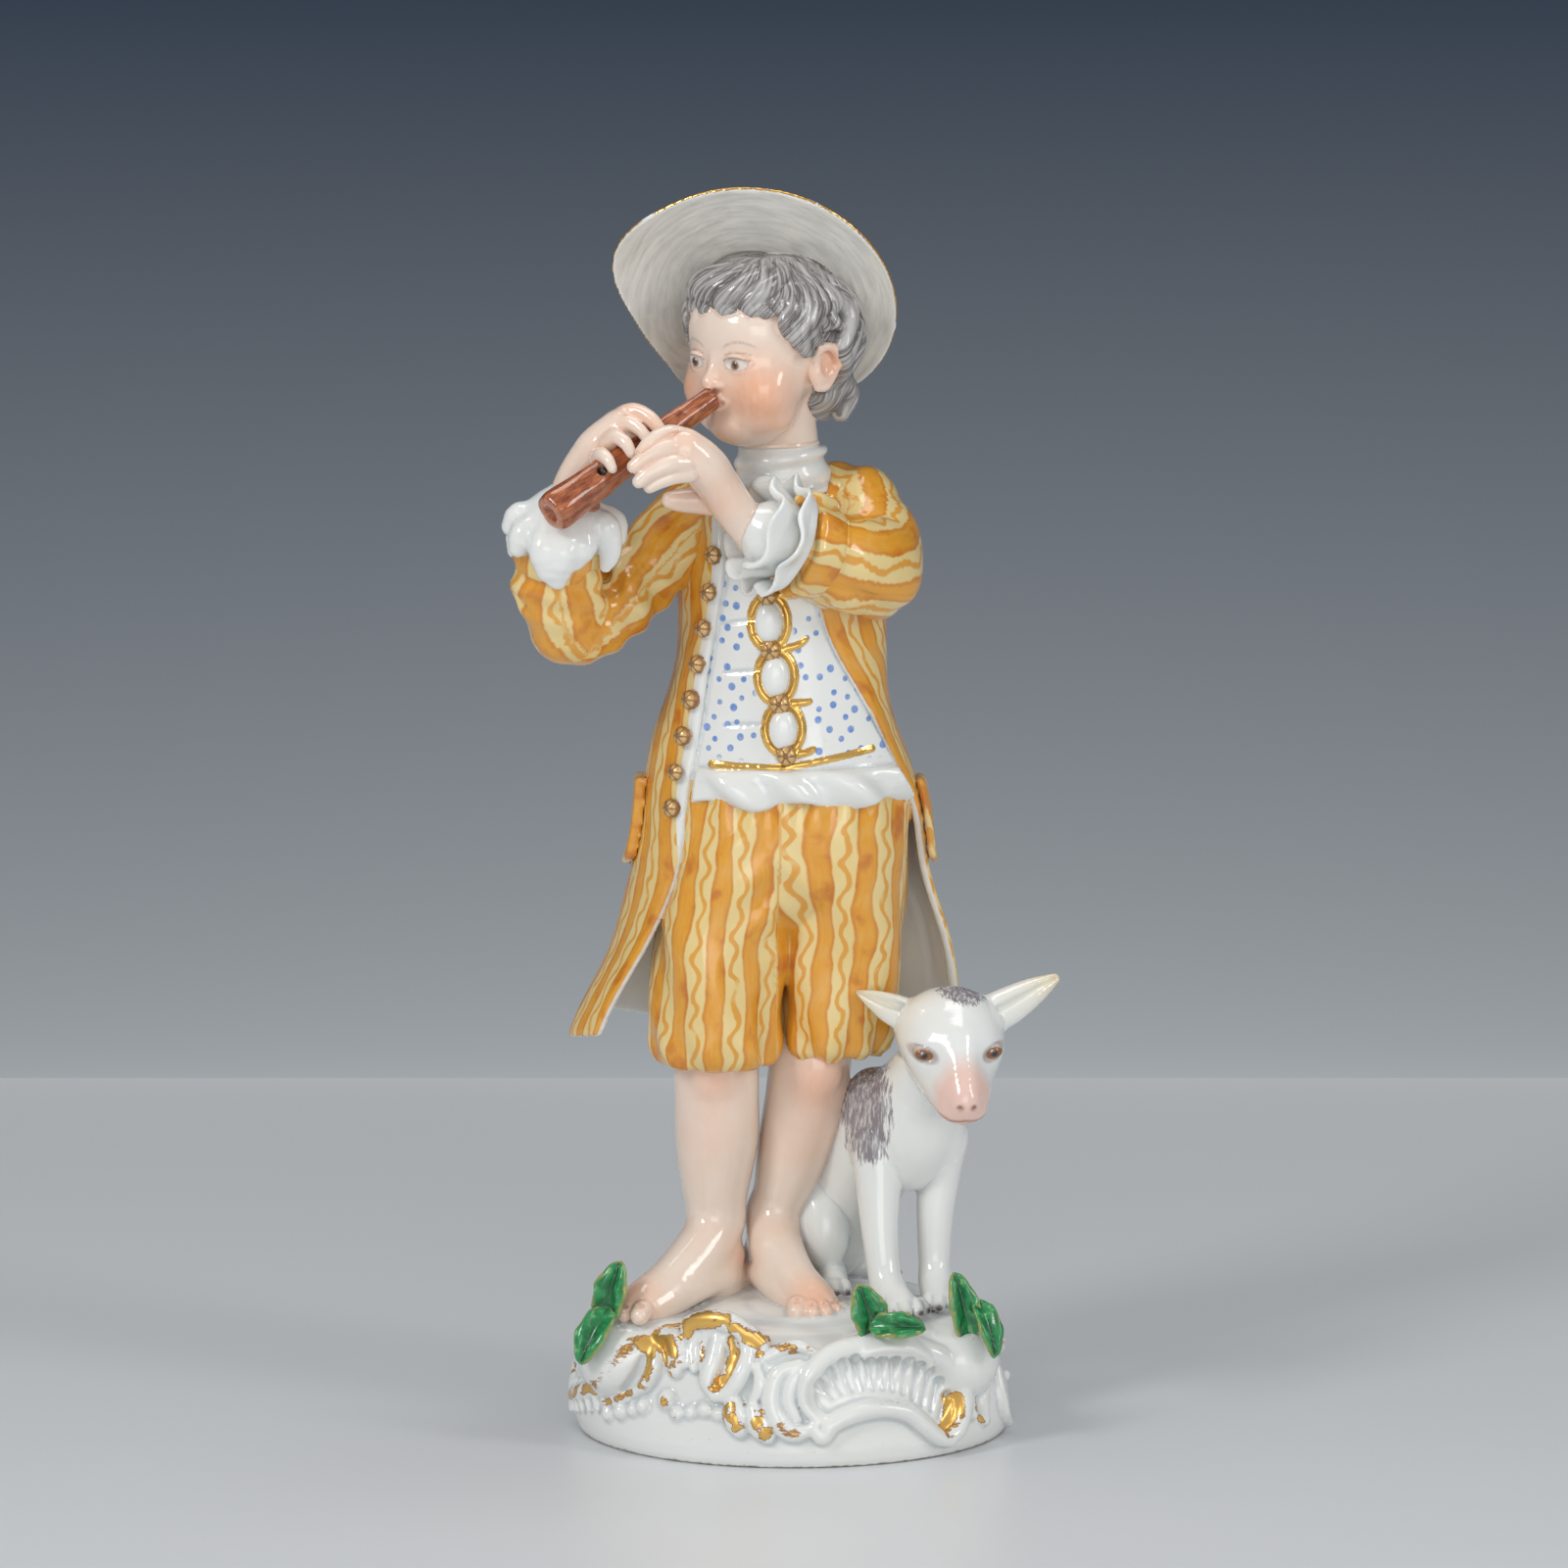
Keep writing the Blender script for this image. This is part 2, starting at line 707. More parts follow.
def haired():
    """Grey-brown brush strokes that follow the locks, over white."""
    s = Shader("hair_look")
    flow = s.attr("flow", "Vector")
    fine = s.noise(s.stretch(flow, 3.4, 0.22, 1.0), 1.0, 3.0, 0.65)
    wide = s.noise(s.stretch(flow, 0.7, 0.12, 1.0), 1.0, 2.0)
    pool = s.ramp(s.attr("cavity"), -0.2, 1.5)
    ink = s.plus(s.ramp(fine, 0.36, 0.6), s.times(pool, 0.6))
    ink = s.times(s.least(ink, 1.0), s.ramp(wide, 0.33, 0.55))
    colour = s.mix(s.times(ink, 0.94), HAIR_PALE, HAIR_DARK)
    warm = s.mix(s.times(wide, 0.3), colour, HAIR_WARM)
    return s.finish(warm, 0.12, bump=s.times(fine, 0.5))


def hatted():
    """Pale grey brushed wash that runs round the brim, with a thin worn gold rim."""
    s = Shader("hat_look")
    round_way, radius, rim = s.split(s.attr("hat", "Vector"))
    ring = s.join(s.times(radius, 1.5), s.times(round_way, 0.22))
    brushed = s.noise(ring, 1.0, 4.0, 0.6)
    patch = s.noise(s.place(), 0.16, 2.0)
    tone = s.mix(s.ramp(brushed, 0.3, 0.75), HAT_PALE, HAT_GREY)
    tone = s.mix(s.times(s.ramp(patch, 0.4, 0.7), 0.4), tone, HAT_PATCH)
    inner = s.ramp(s.plus(radius, s.times(brushed, 1.5)), 13.5, 9.0)
    tone = s.mix(s.times(inner, 0.12), tone, HAT_INNER)
    pale = s.ramp(rim, 1.0, 0.2)
    tone = s.mix(s.times(pale, 0.6), tone, HAT_EDGE)
    worn = s.noise(s.place(), 0.28, 3.0)
    line = s.times(s.ramp(rim, 0.46, 0.26), s.ramp(worn, 0.34, 0.46))
    colour, metal = gilded(s, tone, s.times(line, 0.75))
    return s.finish(colour, 0.13, metal=s.times(metal, 0.8))


def piped():
    """Streaky red-brown enamel along the pipe."""
    s = Shader("pipe_look")
    around, along, face = s.split(s.attr("pipe", "Vector"))
    streaks = s.noise(s.join(s.times(around, 1.6), s.times(along, 0.3)), 1.0, 4.0, 0.65)
    blots = s.noise(s.place(), 0.5, 3.0)
    colour = s.mix(s.ramp(streaks, 0.3, 0.68), PIPE_RED, PIPE_DARK)
    colour = s.mix(s.times(s.ramp(blots, 0.5, 0.75), 0.5), colour, PIPE_BLOT)
    disc = s.ramp(face, 0.0, 0.25)
    colour = s.mix(s.times(disc, 0.55), colour, PIPE_END)
    colour = s.mix(s.attr("ink"), colour, PIPE_HOLE)
    return s.finish(colour, 0.10)


def leafy():
    """Deep green enamel with worn yellow-green edges."""
    s = Shader("leaf_look")
    edge = s.split(s.attr("leaf", "Vector"))[0]
    spots = s.noise(s.place(), 0.8, 4.0, 0.6)
    colour = s.mix(s.ramp(spots, 0.35, 0.7), LEAF_DARK, LEAF_GREEN)
    worn = s.ramp(s.plus(edge, s.times(spots, 1.2)), 1.05, 0.5)
    colour = s.mix(s.times(worn, 0.8), colour, LEAF_WORN)
    pale = s.times(s.ramp(spots, 0.58, 0.70), 0.6)
    colour = s.mix(pale, colour, LEAF_PALE)
    colour = s.mix(s.ramp(s.attr("cavity"), 0.5, 2.5), colour, LEAF_DEEP)
    return s.finish(colour, 0.16)


def based():
    """White glaze with gold on the rocaille and a bare rim where the glaze was wiped off the foot."""
    s = Shader("base_look")
    gold, bare, _ = s.split(s.attr("gold", "Vector"))
    broken = s.ramp(s.noise(s.place(), 0.42, 2.0), 0.36, 0.50)
    mask = s.times(s.ramp(gold, 0.3, -0.35), broken)
    colour, metal = gilded(s, white_ground(s), mask)
    rough_edge = s.noise(s.place(), 1.2, 4.0)
    foot = s.ramp(s.plus(bare, s.times(rough_edge, 0.8)), 0.75, 0.35)
    colour = s.mix(foot, colour, BARE_CLAY)
    return s.finish(colour, s.level(metal, 0.11, 0.34), metal=s.times(metal, 0.8))


def dotted():
    """White waistcoat with clusters of blue dots, gold lacing drawn as lines."""
    s = Shader("waistcoat_look")
    lace, front, _ = s.split(s.attr("lace", "Vector"))
    wash = s.noise(s.place(), 1.6, 2.0)
    dot = s.times(s.ramp(s.attr("dots"), 0.06, -0.06), s.plus(0.45, s.times(wash, 0.9)))
    dot = s.least(s.times(dot, front), 1.0)
    colour = s.mix(dot, white_ground(s), BLUE)
    mask = s.ramp(lace, 0.34, 0.1)
    colour, metal = gilded(s, colour, s.times(mask, 0.95), 0.5)
    return s.finish(colour, 0.11, metal=s.times(metal, 0.8))


def button_gold(name, ground):
    """Gilt button with a rosette scratched in it and a dark ring at its foot."""
    s = Shader(name)
    x, y, r = s.split(s.attr("disc", "Vector"))
    turn = s.math("ARCTAN2", y, x)
    petals = s.size(s.math("SINE", s.times(turn, 3.0)))
    rose = s.times(petals, s.ramp(r, 0.15, 0.45))
    grain = s.noise(s.place(), 3.0, 3.0)
    light = s.plus(s.times(rose, 0.6), s.times(grain, 0.6))
    colour = s.mix(s.ramp(light, 0.3, 0.8), GILT_BROWN, GILT)
    ring = s.ramp(r, 0.8, 0.98)
    colour = s.mix(ring, colour, ground)
    metal = s.times(s.ramp(light, 0.3, 0.6), s.ramp(r, 0.98, 0.8))
    return s.finish(colour, 0.26, metal=s.times(metal, 0.45), bump=s.times(light, 0.8),
                    depth=0.00015)


def furred():
    """White dog with mauve-grey patches drawn in fine strokes, tinted ears, muzzle, eyes and claws."""
    s = Shader("dog_look")
    patch, tint, _ = s.split(s.attr("fur", "Vector"))
    spot = s.place()
    slant = s.stretch(spot, 2.6, 1.4, 0.35)
    strokes = s.noise(slant, 1.0, 3.0, 0.7)
    rag = s.plus(patch, s.times(s.minus(strokes, 0.5), 2.2))
    ink = s.times(s.ramp(rag, 0.25, 0.7), s.ramp(strokes, 0.32, 0.58))
    colour = s.mix(s.times(ink, 0.85), white_ground(s), FUR_DARK)
    colour = s.mix(s.times(s.ramp(rag, 0.3, 0.9), 0.35), colour, FUR_GREY)
    colour = s.mix(s.times(tint, 0.8), colour, s.attr("tint_colour", "Color"))
    colour = s.mix(s.attr("ink"), colour, s.attr("ink_colour", "Color"))
    return s.finish(colour, 0.10)


def plain_white():
    """Bare white glaze."""
    s = Shader("white_glaze_look")
    return s.finish(white_ground(s), 0.11)


LOOK = {
    "white": plain_white(),
    "striped": striped("striped_enamel_look"),
    "flesh": fleshy(),
    "hair": haired(),
    "hat": hatted(),
    "pipe": piped(),
    "leaf": leafy(),
    "base": based(),
    "dots": dotted(),
    "coat_button": button_gold("coat_button_look", (0.30, 0.12, 0.02)),
    "vest_button": button_gold("vest_button_look", (0.40, 0.20, 0.04)),
    "dog": furred(),
}
# The record's slot for each look; those not here are white glaze.
SLOT = {
    "striped": "yellow_enamel", "flesh": "flesh_enamel", "hair": "grey_enamel", "hat": "hat_enamel",
    "pipe": "brown_enamel", "leaf": "green_enamel", "coat_button": "gilding", "vest_button": "gilding",
}


# ---------------------------------------------------------------- base


BASE_A, BASE_B = 26.2, 22.2  # half-width and half-depth
# The wall's profile: level, and width as a share of the widest.
WALL = np.array([
    (-1, 0.97), (0, 0.975), (0.8, 0.992), (2, 1.0), (5, 0.985), (7.5, 0.955), (10, 0.94), (12, 0.92),
    (13.5, 0.86), (15, 0.7), (16, 0.45), (16.7, 0.12), (17.1, -0.1), (20, -1.6),
])


def wall_share(z):
    """How wide the base's wall is at a level, as a share; the ridges stay on its upright part."""
    return max(float(np.interp(z, WALL[:, 0], WALL[:, 1])), 0.85)


def wall_point(angle, z, out):
    """A point on the base's wall, at an angle in degrees from the front towards the boy's left."""
    turn, share = math.radians(angle), wall_share(z)
    return (BASE_A * share + out) * math.sin(turn), -(BASE_B * share + out) * math.cos(turn), z


def stroke(points, radius, out, thin_ends=0.45):
    """A modelled ridge along wall points, thinner towards its ends."""
    last = len(points) - 1
    path = []
    for i, (angle, z) in enumerate(points):
        swell = thin_ends + (1 - thin_ends) * math.sin(math.pi * (0.12 + 0.76 * i / last))
        path.append((*wall_point(angle, z, out), radius * swell))
    return tube(path)


def mound(block):
    """The base's body: an oval with the wall's profile, cut flat below and rippled on top."""
    share = np.interp(block.z, WALL[:, 0], WALL[:, 1]).astype(np.float32)
    slope = np.interp(block.z, (WALL[1:, 0] + WALL[:-1, 0]) / 2, np.diff(WALL[:, 1]) / np.diff(WALL[:, 0]))
    middle = 24.0
    radial = np.sqrt((block.x / BASE_A) ** 2 + (block.y / BASE_B) ** 2)
    steep = (1 / np.sqrt(1 + (middle * slope) ** 2)).astype(np.float32)
    ripple = 0.25 * np.sin(block.x * 0.42 + 1.1) * np.cos(block.y * 0.5 + 0.4)
    top = clip01((block.z - 13.0) / 3.0)
    return np.maximum((radial - share) * middle * steep - ripple * top, -block.z)


# Ridges of the rocaille: radius, how far out, and the wall points they follow.
LEFT_SCROLLS = [
    (1.5, 0.2, [(-48, 13.4), (-50, 11.4), (-54.5, 8.9), (-62.5, 7.1), (-74, 5.4), (-84, 4.2)]),
    (1.3, 0.1, [(-57, 13.6), (-66, 12.2), (-80, 10.2), (-91, 8), (-94, 5.9), (-90, 4.6), (-84, 3.9)]),
    (1.0, 0.2, [(-64, 10.6), (-74, 8.8), (-84, 6.6)]),
    (1.0, 0.3, [(-42.5, 12.6), (-41, 10.8), (-43.5, 8.8), (-46.5, 7.6)]),
    (0.9, 0.2, [(-59, 5.4), (-52, 6.5), (-46, 7.9)]),
    (1.5, 0.2, [(-47, 13.7), (-39.5, 13.9), (-34.5, 12.6), (-34, 10.8)]),
    (0.8, 0.5, [(-28, 11.2), (-30.5, 13.3), (-29, 14.9)]),
    (0.7, 0.5, [(-31, 11.6), (-33.5, 13.6), (-31.5, 15)]),
    (0.8, 0.4, [(-25, 11.4), (-27.2, 13.2), (-26.4, 14.9)]),
    (1.25, 0.3, [(-33.5, 14.9), (-32, 16.2), (-25, 16.9), (-19, 16.7), (-15, 15.7), (-12.5, 15.3),
                 (-9, 14.2)]),
    (1.15, 0.5, [(-22.8, 15.0), (-22.5, 12.6), (-23.4, 10.2), (-21.5, 8.6)]),
    (1.05, 0.5, [(-14.6, 14.9), (-13.1, 13.2), (-14.1, 11.3), (-17.3, 8.9), (-21.2, 8.3)]),
    (0.8, 0.3, [(-8, 12.8), (-3.5, 13.7), (1.5, 14.2), (6, 13.4)]),
    (0.75, 0.3, [(-10, 12), (-9, 9.8), (-11, 7.6)]),
    (1.5, 0.3, [(-16.2, 7.8), (-15.2, 6.0), (-13.8, 4.6)]),
    (1.4, 0.3, [(-10.4, 7.0), (-8.8, 5.2), (-6.6, 4.0)]),
    (1.1, 0.3, [(-4.2, 6.4), (-2, 4.9), (1.2, 4.2)]),
    (2.0, -0.9, [(-32, 13.2), (-27, 14.4), (-21, 14.6), (-15, 13.8), (-10, 12.6)]),
    (1.6, -0.6, [(-30, 14.6), (-25, 15.8), (-20, 15.6)]),
]
RIGHT_SCROLLS = [
    (1.15, 0.3, [(1.5, 12.2), (-4, 11.2), (-5.8, 8.6), (-4.6, 6.2), (-0.8, 4.4), (3.5, 4.6)]),
    (0.95, 0.2, [(4.2, 12.0), (0, 10.6), (-1.2, 8.0), (1, 6)]),
    (1.35, 0.5, [(9.6, 5.2), (4.8, 7.1), (3.5, 9), (4.9, 11.2), (10.5, 13.1), (19.5, 13.9), (29, 13.9),
                 (38, 13.2), (45.5, 11.4), (50.8, 8.4), (51, 5.9), (47.5, 3.2), (43.5, 2.2)]),
    (1.25, 0.5, [(5.2, 5.0), (7.5, 3.9), (9.5, 5.2), (13, 6.1), (19, 6.8), (25.5, 6.9), (32, 6.0),
                 (36.5, 4.2), (40.5, 2.6), (44, 2.1)]),
    (1.0, 0.3, [(57.5, 10.6), (57, 8.7), (54, 6.6), (54.5, 4.3)]),
    (0.95, 0.3, [(66, 10.2), (65.5, 7.7), (60, 5.8), (60, 3.1)]),
    (0.9, 0.3, [(74, 8.4), (72, 5.5), (72.5, 3.2), (78, 1.4)]),
    (1.1, 0.2, [(62, 12.4), (70, 11.2), (80, 10.4), (90, 9.6)]),
]
# The back repeats the same family of scrolls more loosely.
BACK_SCROLLS = [
    (1.3, 0.3, [(98, 9.5), (108, 12.4), (122, 12.6), (132, 10), (130, 6.6), (121, 6), (116, 8)]),
    (1.1, 0.2, [(100, 5), (110, 4.2), (122, 4.0), (136, 5.2)]),
    (1.3, 0.3, [(146, 4.6), (142, 8.6), (148, 12.4), (160, 13.6), (172, 12.8), (180, 10.4), (178, 7.4),
                (170, 7.2)]),
    (1.1, 0.2, [(152, 9.6), (160, 10.8), (167, 9.8), (164, 7.6)]),
    (1.3, 0.3, [(-172, 4.2), (-166, 8.2), (-158, 12), (-146, 13.4), (-134, 12.2), (-128, 9), (-133, 6.4),
                (-141, 7.2)]),
    (1.0, 0.2, [(-150, 4.6), (-138, 4.0), (-126, 4.6), (-116, 6.2)]),
    (1.2, 0.3, [(-120, 10.5), (-112, 12.6), (-102, 12), (-98, 9), (-104, 6.8), (-110, 8)]),
]
FLUTES = [
    ((7.5, 10.0), (10.8, 8.3)), ((10.4, 11.3), (13.2, 8.7)), ((14, 12.1), (16.3, 8.9)),
    ((18, 12.6), (19.4, 9.1)), ((22, 12.8), (22.5, 9.1)), ((26, 12.7), (25.4, 9)), ((30, 12.5), (28.4, 8.7)),
    ((34, 11.9), (31.4, 8.2)), ((37.6, 11.2), (34.2, 7.5)), ((41, 10.1), (37.2, 6.6)),
    ((43.8, 8.8), (39.8, 5.8)), ((46, 7), (42, 4.8)),
]
BEADS = [
    (-57, 4.2, 0.9), (-51.5, 4.9, 1.0), (-47, 5.4, 0.8), (-43.5, 6.0, 0.95), (-36, 7.2, 1.15),
    (-32, 5.8, 0.85), (-28, 6.1, 0.8), (-24, 6.6, 0.95), (-20, 6.2, 0.8),
]
# Gold brushed on the relief: half-width and the wall points it follows.
GOLD_LINES = [
    (1.05, [(-48.5, 13.2), (-50, 11.2), (-54.5, 8.8), (-62.5, 7.1)]),
    (0.75, [(-62.5, 7.1), (-72, 5.8), (-84, 4.2)]), (0.45, [(-58, 13.4), (-64, 12.4), (-72, 11.6)]),
    (0.4, [(-90, 7.4), (-93, 5.6), (-88, 4.2)]), (0.7, [(-42.5, 12.4), (-41.4, 10.8), (-43.5, 8.8)]),
    (0.45, [(-58, 5.4), (-52, 6.5), (-47.5, 7.5)]), (1.6, [(-43.5, 13.8), (-39.5, 13.7), (-36.5, 12.6)]),
    (0.8, [(-35, 12.4), (-34.2, 10.8)]), (0.4, [(-28.6, 12), (-30.3, 13.4)]),
    (0.45, [(-31.4, 12), (-33.3, 13.8), (-31.5, 14.9)]), (0.4, [(-25.6, 12.4), (-27, 14.2)]),
    (1.0, [(-33, 15.2), (-31.6, 16.3), (-25, 17.0), (-20, 16.9)]),
    (0.9, [(-17, 16.2), (-13.4, 15.4), (-9.4, 14.6)]),
    (0.75, [(-17.5, 14.6), (-16.8, 13.2), (-18, 11.4), (-20.6, 9.6)]),
    (0.45, [(-10, 13.2), (-6, 13.6), (-1, 14.2), (4, 14.0)]), (0.35, [(-1, 13.6), (5.5, 13.7)]),
    (0.7, [(-36, 7.2), (-35.8, 7.2)]), (0.4, [(-43.5, 6), (-43.3, 6)]), (0.4, [(-32, 5.8), (-31.8, 5.8)]),
    (1.15, [(-15.2, 6.9), (-14.9, 5.6)]), (1.1, [(-8.9, 6.1), (-7.9, 4.7)]),
    (0.55, [(-3.6, 5.8), (-1.6, 4.7), (0.6, 4.6)]), (0.3, [(-6, 8.6), (-4.9, 6.1)]),
    (0.3, [(8, 12.4), (10.5, 13)]), (0.35, [(14, 13.9), (19.5, 14.4), (25, 14.5)]),
    (0.35, [(14, 6.7), (20, 7.3), (26, 7.4), (32, 6.4)]), (0.75, [(42.5, 3.2), (46.5, 5.2), (47.8, 6.8)]),
    (0.4, [(57.5, 10.2), (57, 8.7)]), (0.4, [(54.4, 6.4), (54.5, 5)]), (0.6, [(59, 3.6), (62, 3.0)]),
    (0.4, [(66, 9.4), (65.2, 7.4)]), (0.4, [(72, 5.5), (73, 3.2)]),
    (0.5, [(66, 12.6), (73, 11.6), (82, 11.1)]), (0.6, [(104, 11.4), (110, 13), (120, 12.9)]),
    (0.5, [(142.6, 9), (147, 12.2), (156, 13.8)]), (0.6, [(-164, 9.2), (-157, 12.4), (-146, 13.9)]),
    (0.5, [(-119, 11), (-112, 13), (-104, 12.6)]), (0.6, [(130, 8.6), (126, 6.3)]),
    (0.6, [(-130, 8), (-136, 6.6)]), (0.5, [(170, 7.6), (176, 8)]),
]


UNROLLED_DEPTH = 8.0  # millimetres on the unrolled wall for one whole share of the width


def gold_on_wall(p):
    """Distance from the brushed gold on the unrolled wall, and the level."""
    share = np.hypot(p.x / BASE_A, p.y / BASE_B)
    unrolled = columns(np.arctan2(p.x / BASE_A, -p.y / BASE_B) * BASE_B, p.z, share * UNROLLED_DEPTH)
    lines = []
    for width, points in GOLD_LINES:
        path = [(math.radians(a) * BASE_B, z, wall_share(z) * UNROLLED_DEPTH, width * 1.05)
                for a, z in points]
        lines.append(tube(path, per=2))
    nearest = union(lines).measure(Spots(unrolled))
    return columns(np.clip(nearest, -2, 2), p.z, 0 * p.z)


base = Piece("rocaille_base", "base_mound", "base", 0.27, 0.6)
base.add(Shape(mound, (-27.5, -23.5, 0), (27.5, 23.5, 17.2)))
# Rising ground under each foot, paw and leaf.
for centre, radii in [
    ((-17.5, -8.5, 11.2), (7.0, 7.0, 4.6)), ((1.5, -7.5, 12.2), (7.5, 7.0, 4.4)),
    ((12.5, -8.5, 11.5), (7.0, 7.5, 4.5)), ((-21, -9, 10.5), (4.6, 6.4, 5.0)),
    ((19.5, -10, 10.5), (5, 5.5, 5.0)), ((-6, 3, 11), (9, 9, 5.4)), ((10.5, -16.5, 11.0), (6, 4.0, 4.6)),
]:
    base.add(ball(centre, radii), 2.0)
for radius, out, points in LEFT_SCROLLS + RIGHT_SCROLLS + BACK_SCROLLS:
    base.add(stroke(points, radius, out), 0.55)
for angle, z, radius in BEADS:
    base.add(ball(wall_point(angle, z, 0.15), (radius * 0.95, radius * 0.95, radius)), 0.7)
# Fine side leaves that break up the left scroll.
for k in range(9):
    a = -52 - 4.6 * k
    z = 8.2 - 0.42 * k
    base.add(stroke([(a, z + 0.6), (a - 2.4, z - 1.6), (a - 0.6, z - 3.0)], 0.55, 0.45), 0.35)
for k in range(7):
    a = -60 - 4.6 * k
    z = 12.0 - 0.55 * k
    base.add(stroke([(a, z + 0.9), (a + 1.2, z - 0.8), (a + 0.4, z - 2.2)], 0.5, 0.5), 0.35)
base.cut(stroke([(8.5, 9.0), (16, 10.8), (26, 10.8), (35, 9.6), (42, 6.6)], 3.4, 3.0, thin_ends=0.8), 0.8)
for (a1, z1), (a2, z2) in FLUTES:
    base.cut(cone(wall_point(a1, z1, 0.15), wall_point(a2, z2, 0.15), 0.8, 0.42), 0.35)
base.cut(stroke([(-18.2, 14.8), (-17.4, 13.2), (-18.4, 11.4), (-20.8, 9.8)], 0.85, 1.0), 0.4)
base.cut(stroke([(-60, 10.6), (-70, 8.6), (-82, 6.4)], 0.8, 1.3), 0.5)
base.cut(stroke([(-44.5, 11.8), (-46, 9.6), (-50, 7.6)], 0.75, 1.2), 0.4)
base.keep(slab(0.0, 18.5))
base.paint("gold", gold_on_wall)


# ---------------------------------------------------------------- leaves


def leaf(name, node, root, tip, half_width, face):
    """A thick heart-shaped leaf with grooves from its root to its edge."""
    root, tip = vec(*root), vec(*tip)
    along = tip - root
    length = np.linalg.norm(along)
    along = along / length
    _, side, lift = running(along, face)
    outline = np.array([(-0.22, 0.0), (-0.14, 0.55), (0.0, 0.86), (0.2, 1.0), (0.45, 1.0), (0.65, 0.9),
                        (0.82, 0.68), (0.95, 0.36), (1.03, -0.1)])

    def coords(p):
        u, v, w = local(p, root, (along, side, lift))
        return u / length, v / half_width, w

    def edge_distance(u, v):
        wide = np.interp(u, outline[:, 0], outline[:, 1])
        lobes = 0.05 * np.cos(u * 13.0)
        return (np.abs(v) - wide - lobes) * half_width * 0.75

    def body(block):
        u, v, w = coords(block)
        sheet = 0.9 * np.sin(np.clip(u, -0.2, 1.1) * 2.6) + 0.32 * half_width * np.abs(v) ** 1.3
        groove = 0.13 * np.cos(8.0 * np.abs(v) + 5.0 * u) - 0.3 * np.exp(-(v * 4.5) ** 2)
        flat = np.abs(w - sheet - groove) * 0.85 - 0.42
        return blend_max(flat, edge_distance(u, v), 0.6)

    def leaf_coords(p):
        u, v, w = coords(p)
        return columns(-edge_distance(u, v), v, w)

    piece = Piece(name, node, "leaf", 0.2, 0.35)
    piece.add(Shape(body, *box_round(root, tip, half_width + 1.6)))
    piece.paint("leaf", leaf_coords)


leaf("leaf_standing_left", "leaf_left_upper", (-22.0, -12.3, 16.6), (-20.2, -11.6, 22.6), 2.1,
     (-0.3, -1, 0.2))
leaf("leaf_hanging_left", "leaf_left_lower", (-22.3, -13.4, 16.4), (-24.9, -15.0, 10.8), 2.1,
     (-0.5, -1, 0.1))
leaf("leaf_standing_middle", "leaf_front_upright", (9.6, -17.4, 15.6), (7.6, -17.4, 21.2), 2.3,
     (0.1, -1, 0.3))
leaf("leaf_lying_middle", "leaf_front_lying", (10.0, -19.0, 16.4), (15.6, -19.0, 16.0), 1.8, (0, -1, 0.6))
leaf("leaf_standing_right", "leaf_right_upper", (20.6, -13.2, 14.6), (18.9, -12.2, 21.4), 1.9,
     (0.3, -1, 0.2))
leaf("leaf_hanging_right", "leaf_right_lower", (22.2, -13.6, 17.4), (23.6, -15.2, 11.6), 1.8, (0.6, -1, 0.1))


# ---------------------------------------------------------------- legs and feet


def smooth_rows(rows, per=5):
    return smooth_path(np.array(rows, np.float64), per)


def oval(p, centre, radii):
    """0 in the middle of an oval and 1 on its surface."""
    (x, y, z), (rx, ry, rz) = centre, radii
    return np.sqrt(((p.x - x) / rx) ** 2 + ((p.y - y) / ry) ** 2 + ((p.z - z) / rz) ** 2)


def near(p, spots):
    """How close points are to soft round spots (x, y, z, radius, strength), summed."""
    out = np.zeros(len(p.x))
    for x, y, z, radius, strength in spots:
        d2 = (p.x - x) ** 2 + (p.y - y) ** 2 + (p.z - z) ** 2
        out += strength * np.exp(-d2 / (2 * (radius / 2) ** 2))
    return out


def no_ink(p):
    return np.zeros(len(p.x))


def leg(name, node, shank, foot, instep, toes, heel, knee, ankles, blush):
    """A bare leg: shank has a loft's rows, foot has (x, y, z, half-width, half-height) rows, and toes come
    from toe_fan."""
    piece = Piece(name, node, "flesh", 0.25, 0.5)
    piece.add(loft(smooth_rows(shank)))
    piece.add(tube([(x, y, z, max(w, h)) for x, y, z, w, h in foot], flat=((0, 0, 1), 0.72)), 1.6)
    piece.add(tube(instep), 2.0)
    piece.add(ball(heel, (2.8, 2.8, 2.6)), 1.8)
    piece.add(ball(knee, (2.7, 1.7, 2.9)), 2.2)
    for spot in ankles:
        piece.add(ball(spot, (1.0, 1.0, 1.1)), 2.2)
    for start, knuckle, tip, radius in toes:
        piece.add(tube([(*start, radius), (*knuckle, radius * 1.12), (*tip, radius)], per=3), 0.3)
        nail = vec(*tip) + vec(0, 0, radius * 0.98)
        piece.cut(ball(nail, (radius * 0.45, radius * 0.45, 0.1)), 0.15)
    piece.keep(slab(14.0, 50.0))
    piece.paint("blush", lambda p: near(p, blush))
    piece.paint("ink", no_ink)


def toe_fan(centre, tips, radii):
    """Toes from the ball of the foot to their tips, as (start, knuckle, tip, radius)."""
    found = []
    for tip, radius in zip(tips, radii):
        start = vec(*centre) * 0.55 + vec(*tip) * 0.45
        knuckle = vec(*centre) * 0.22 + vec(*tip) * 0.78 + vec(0, 0, 0.35)
        found.append((start, knuckle, tip, radius))
    return found


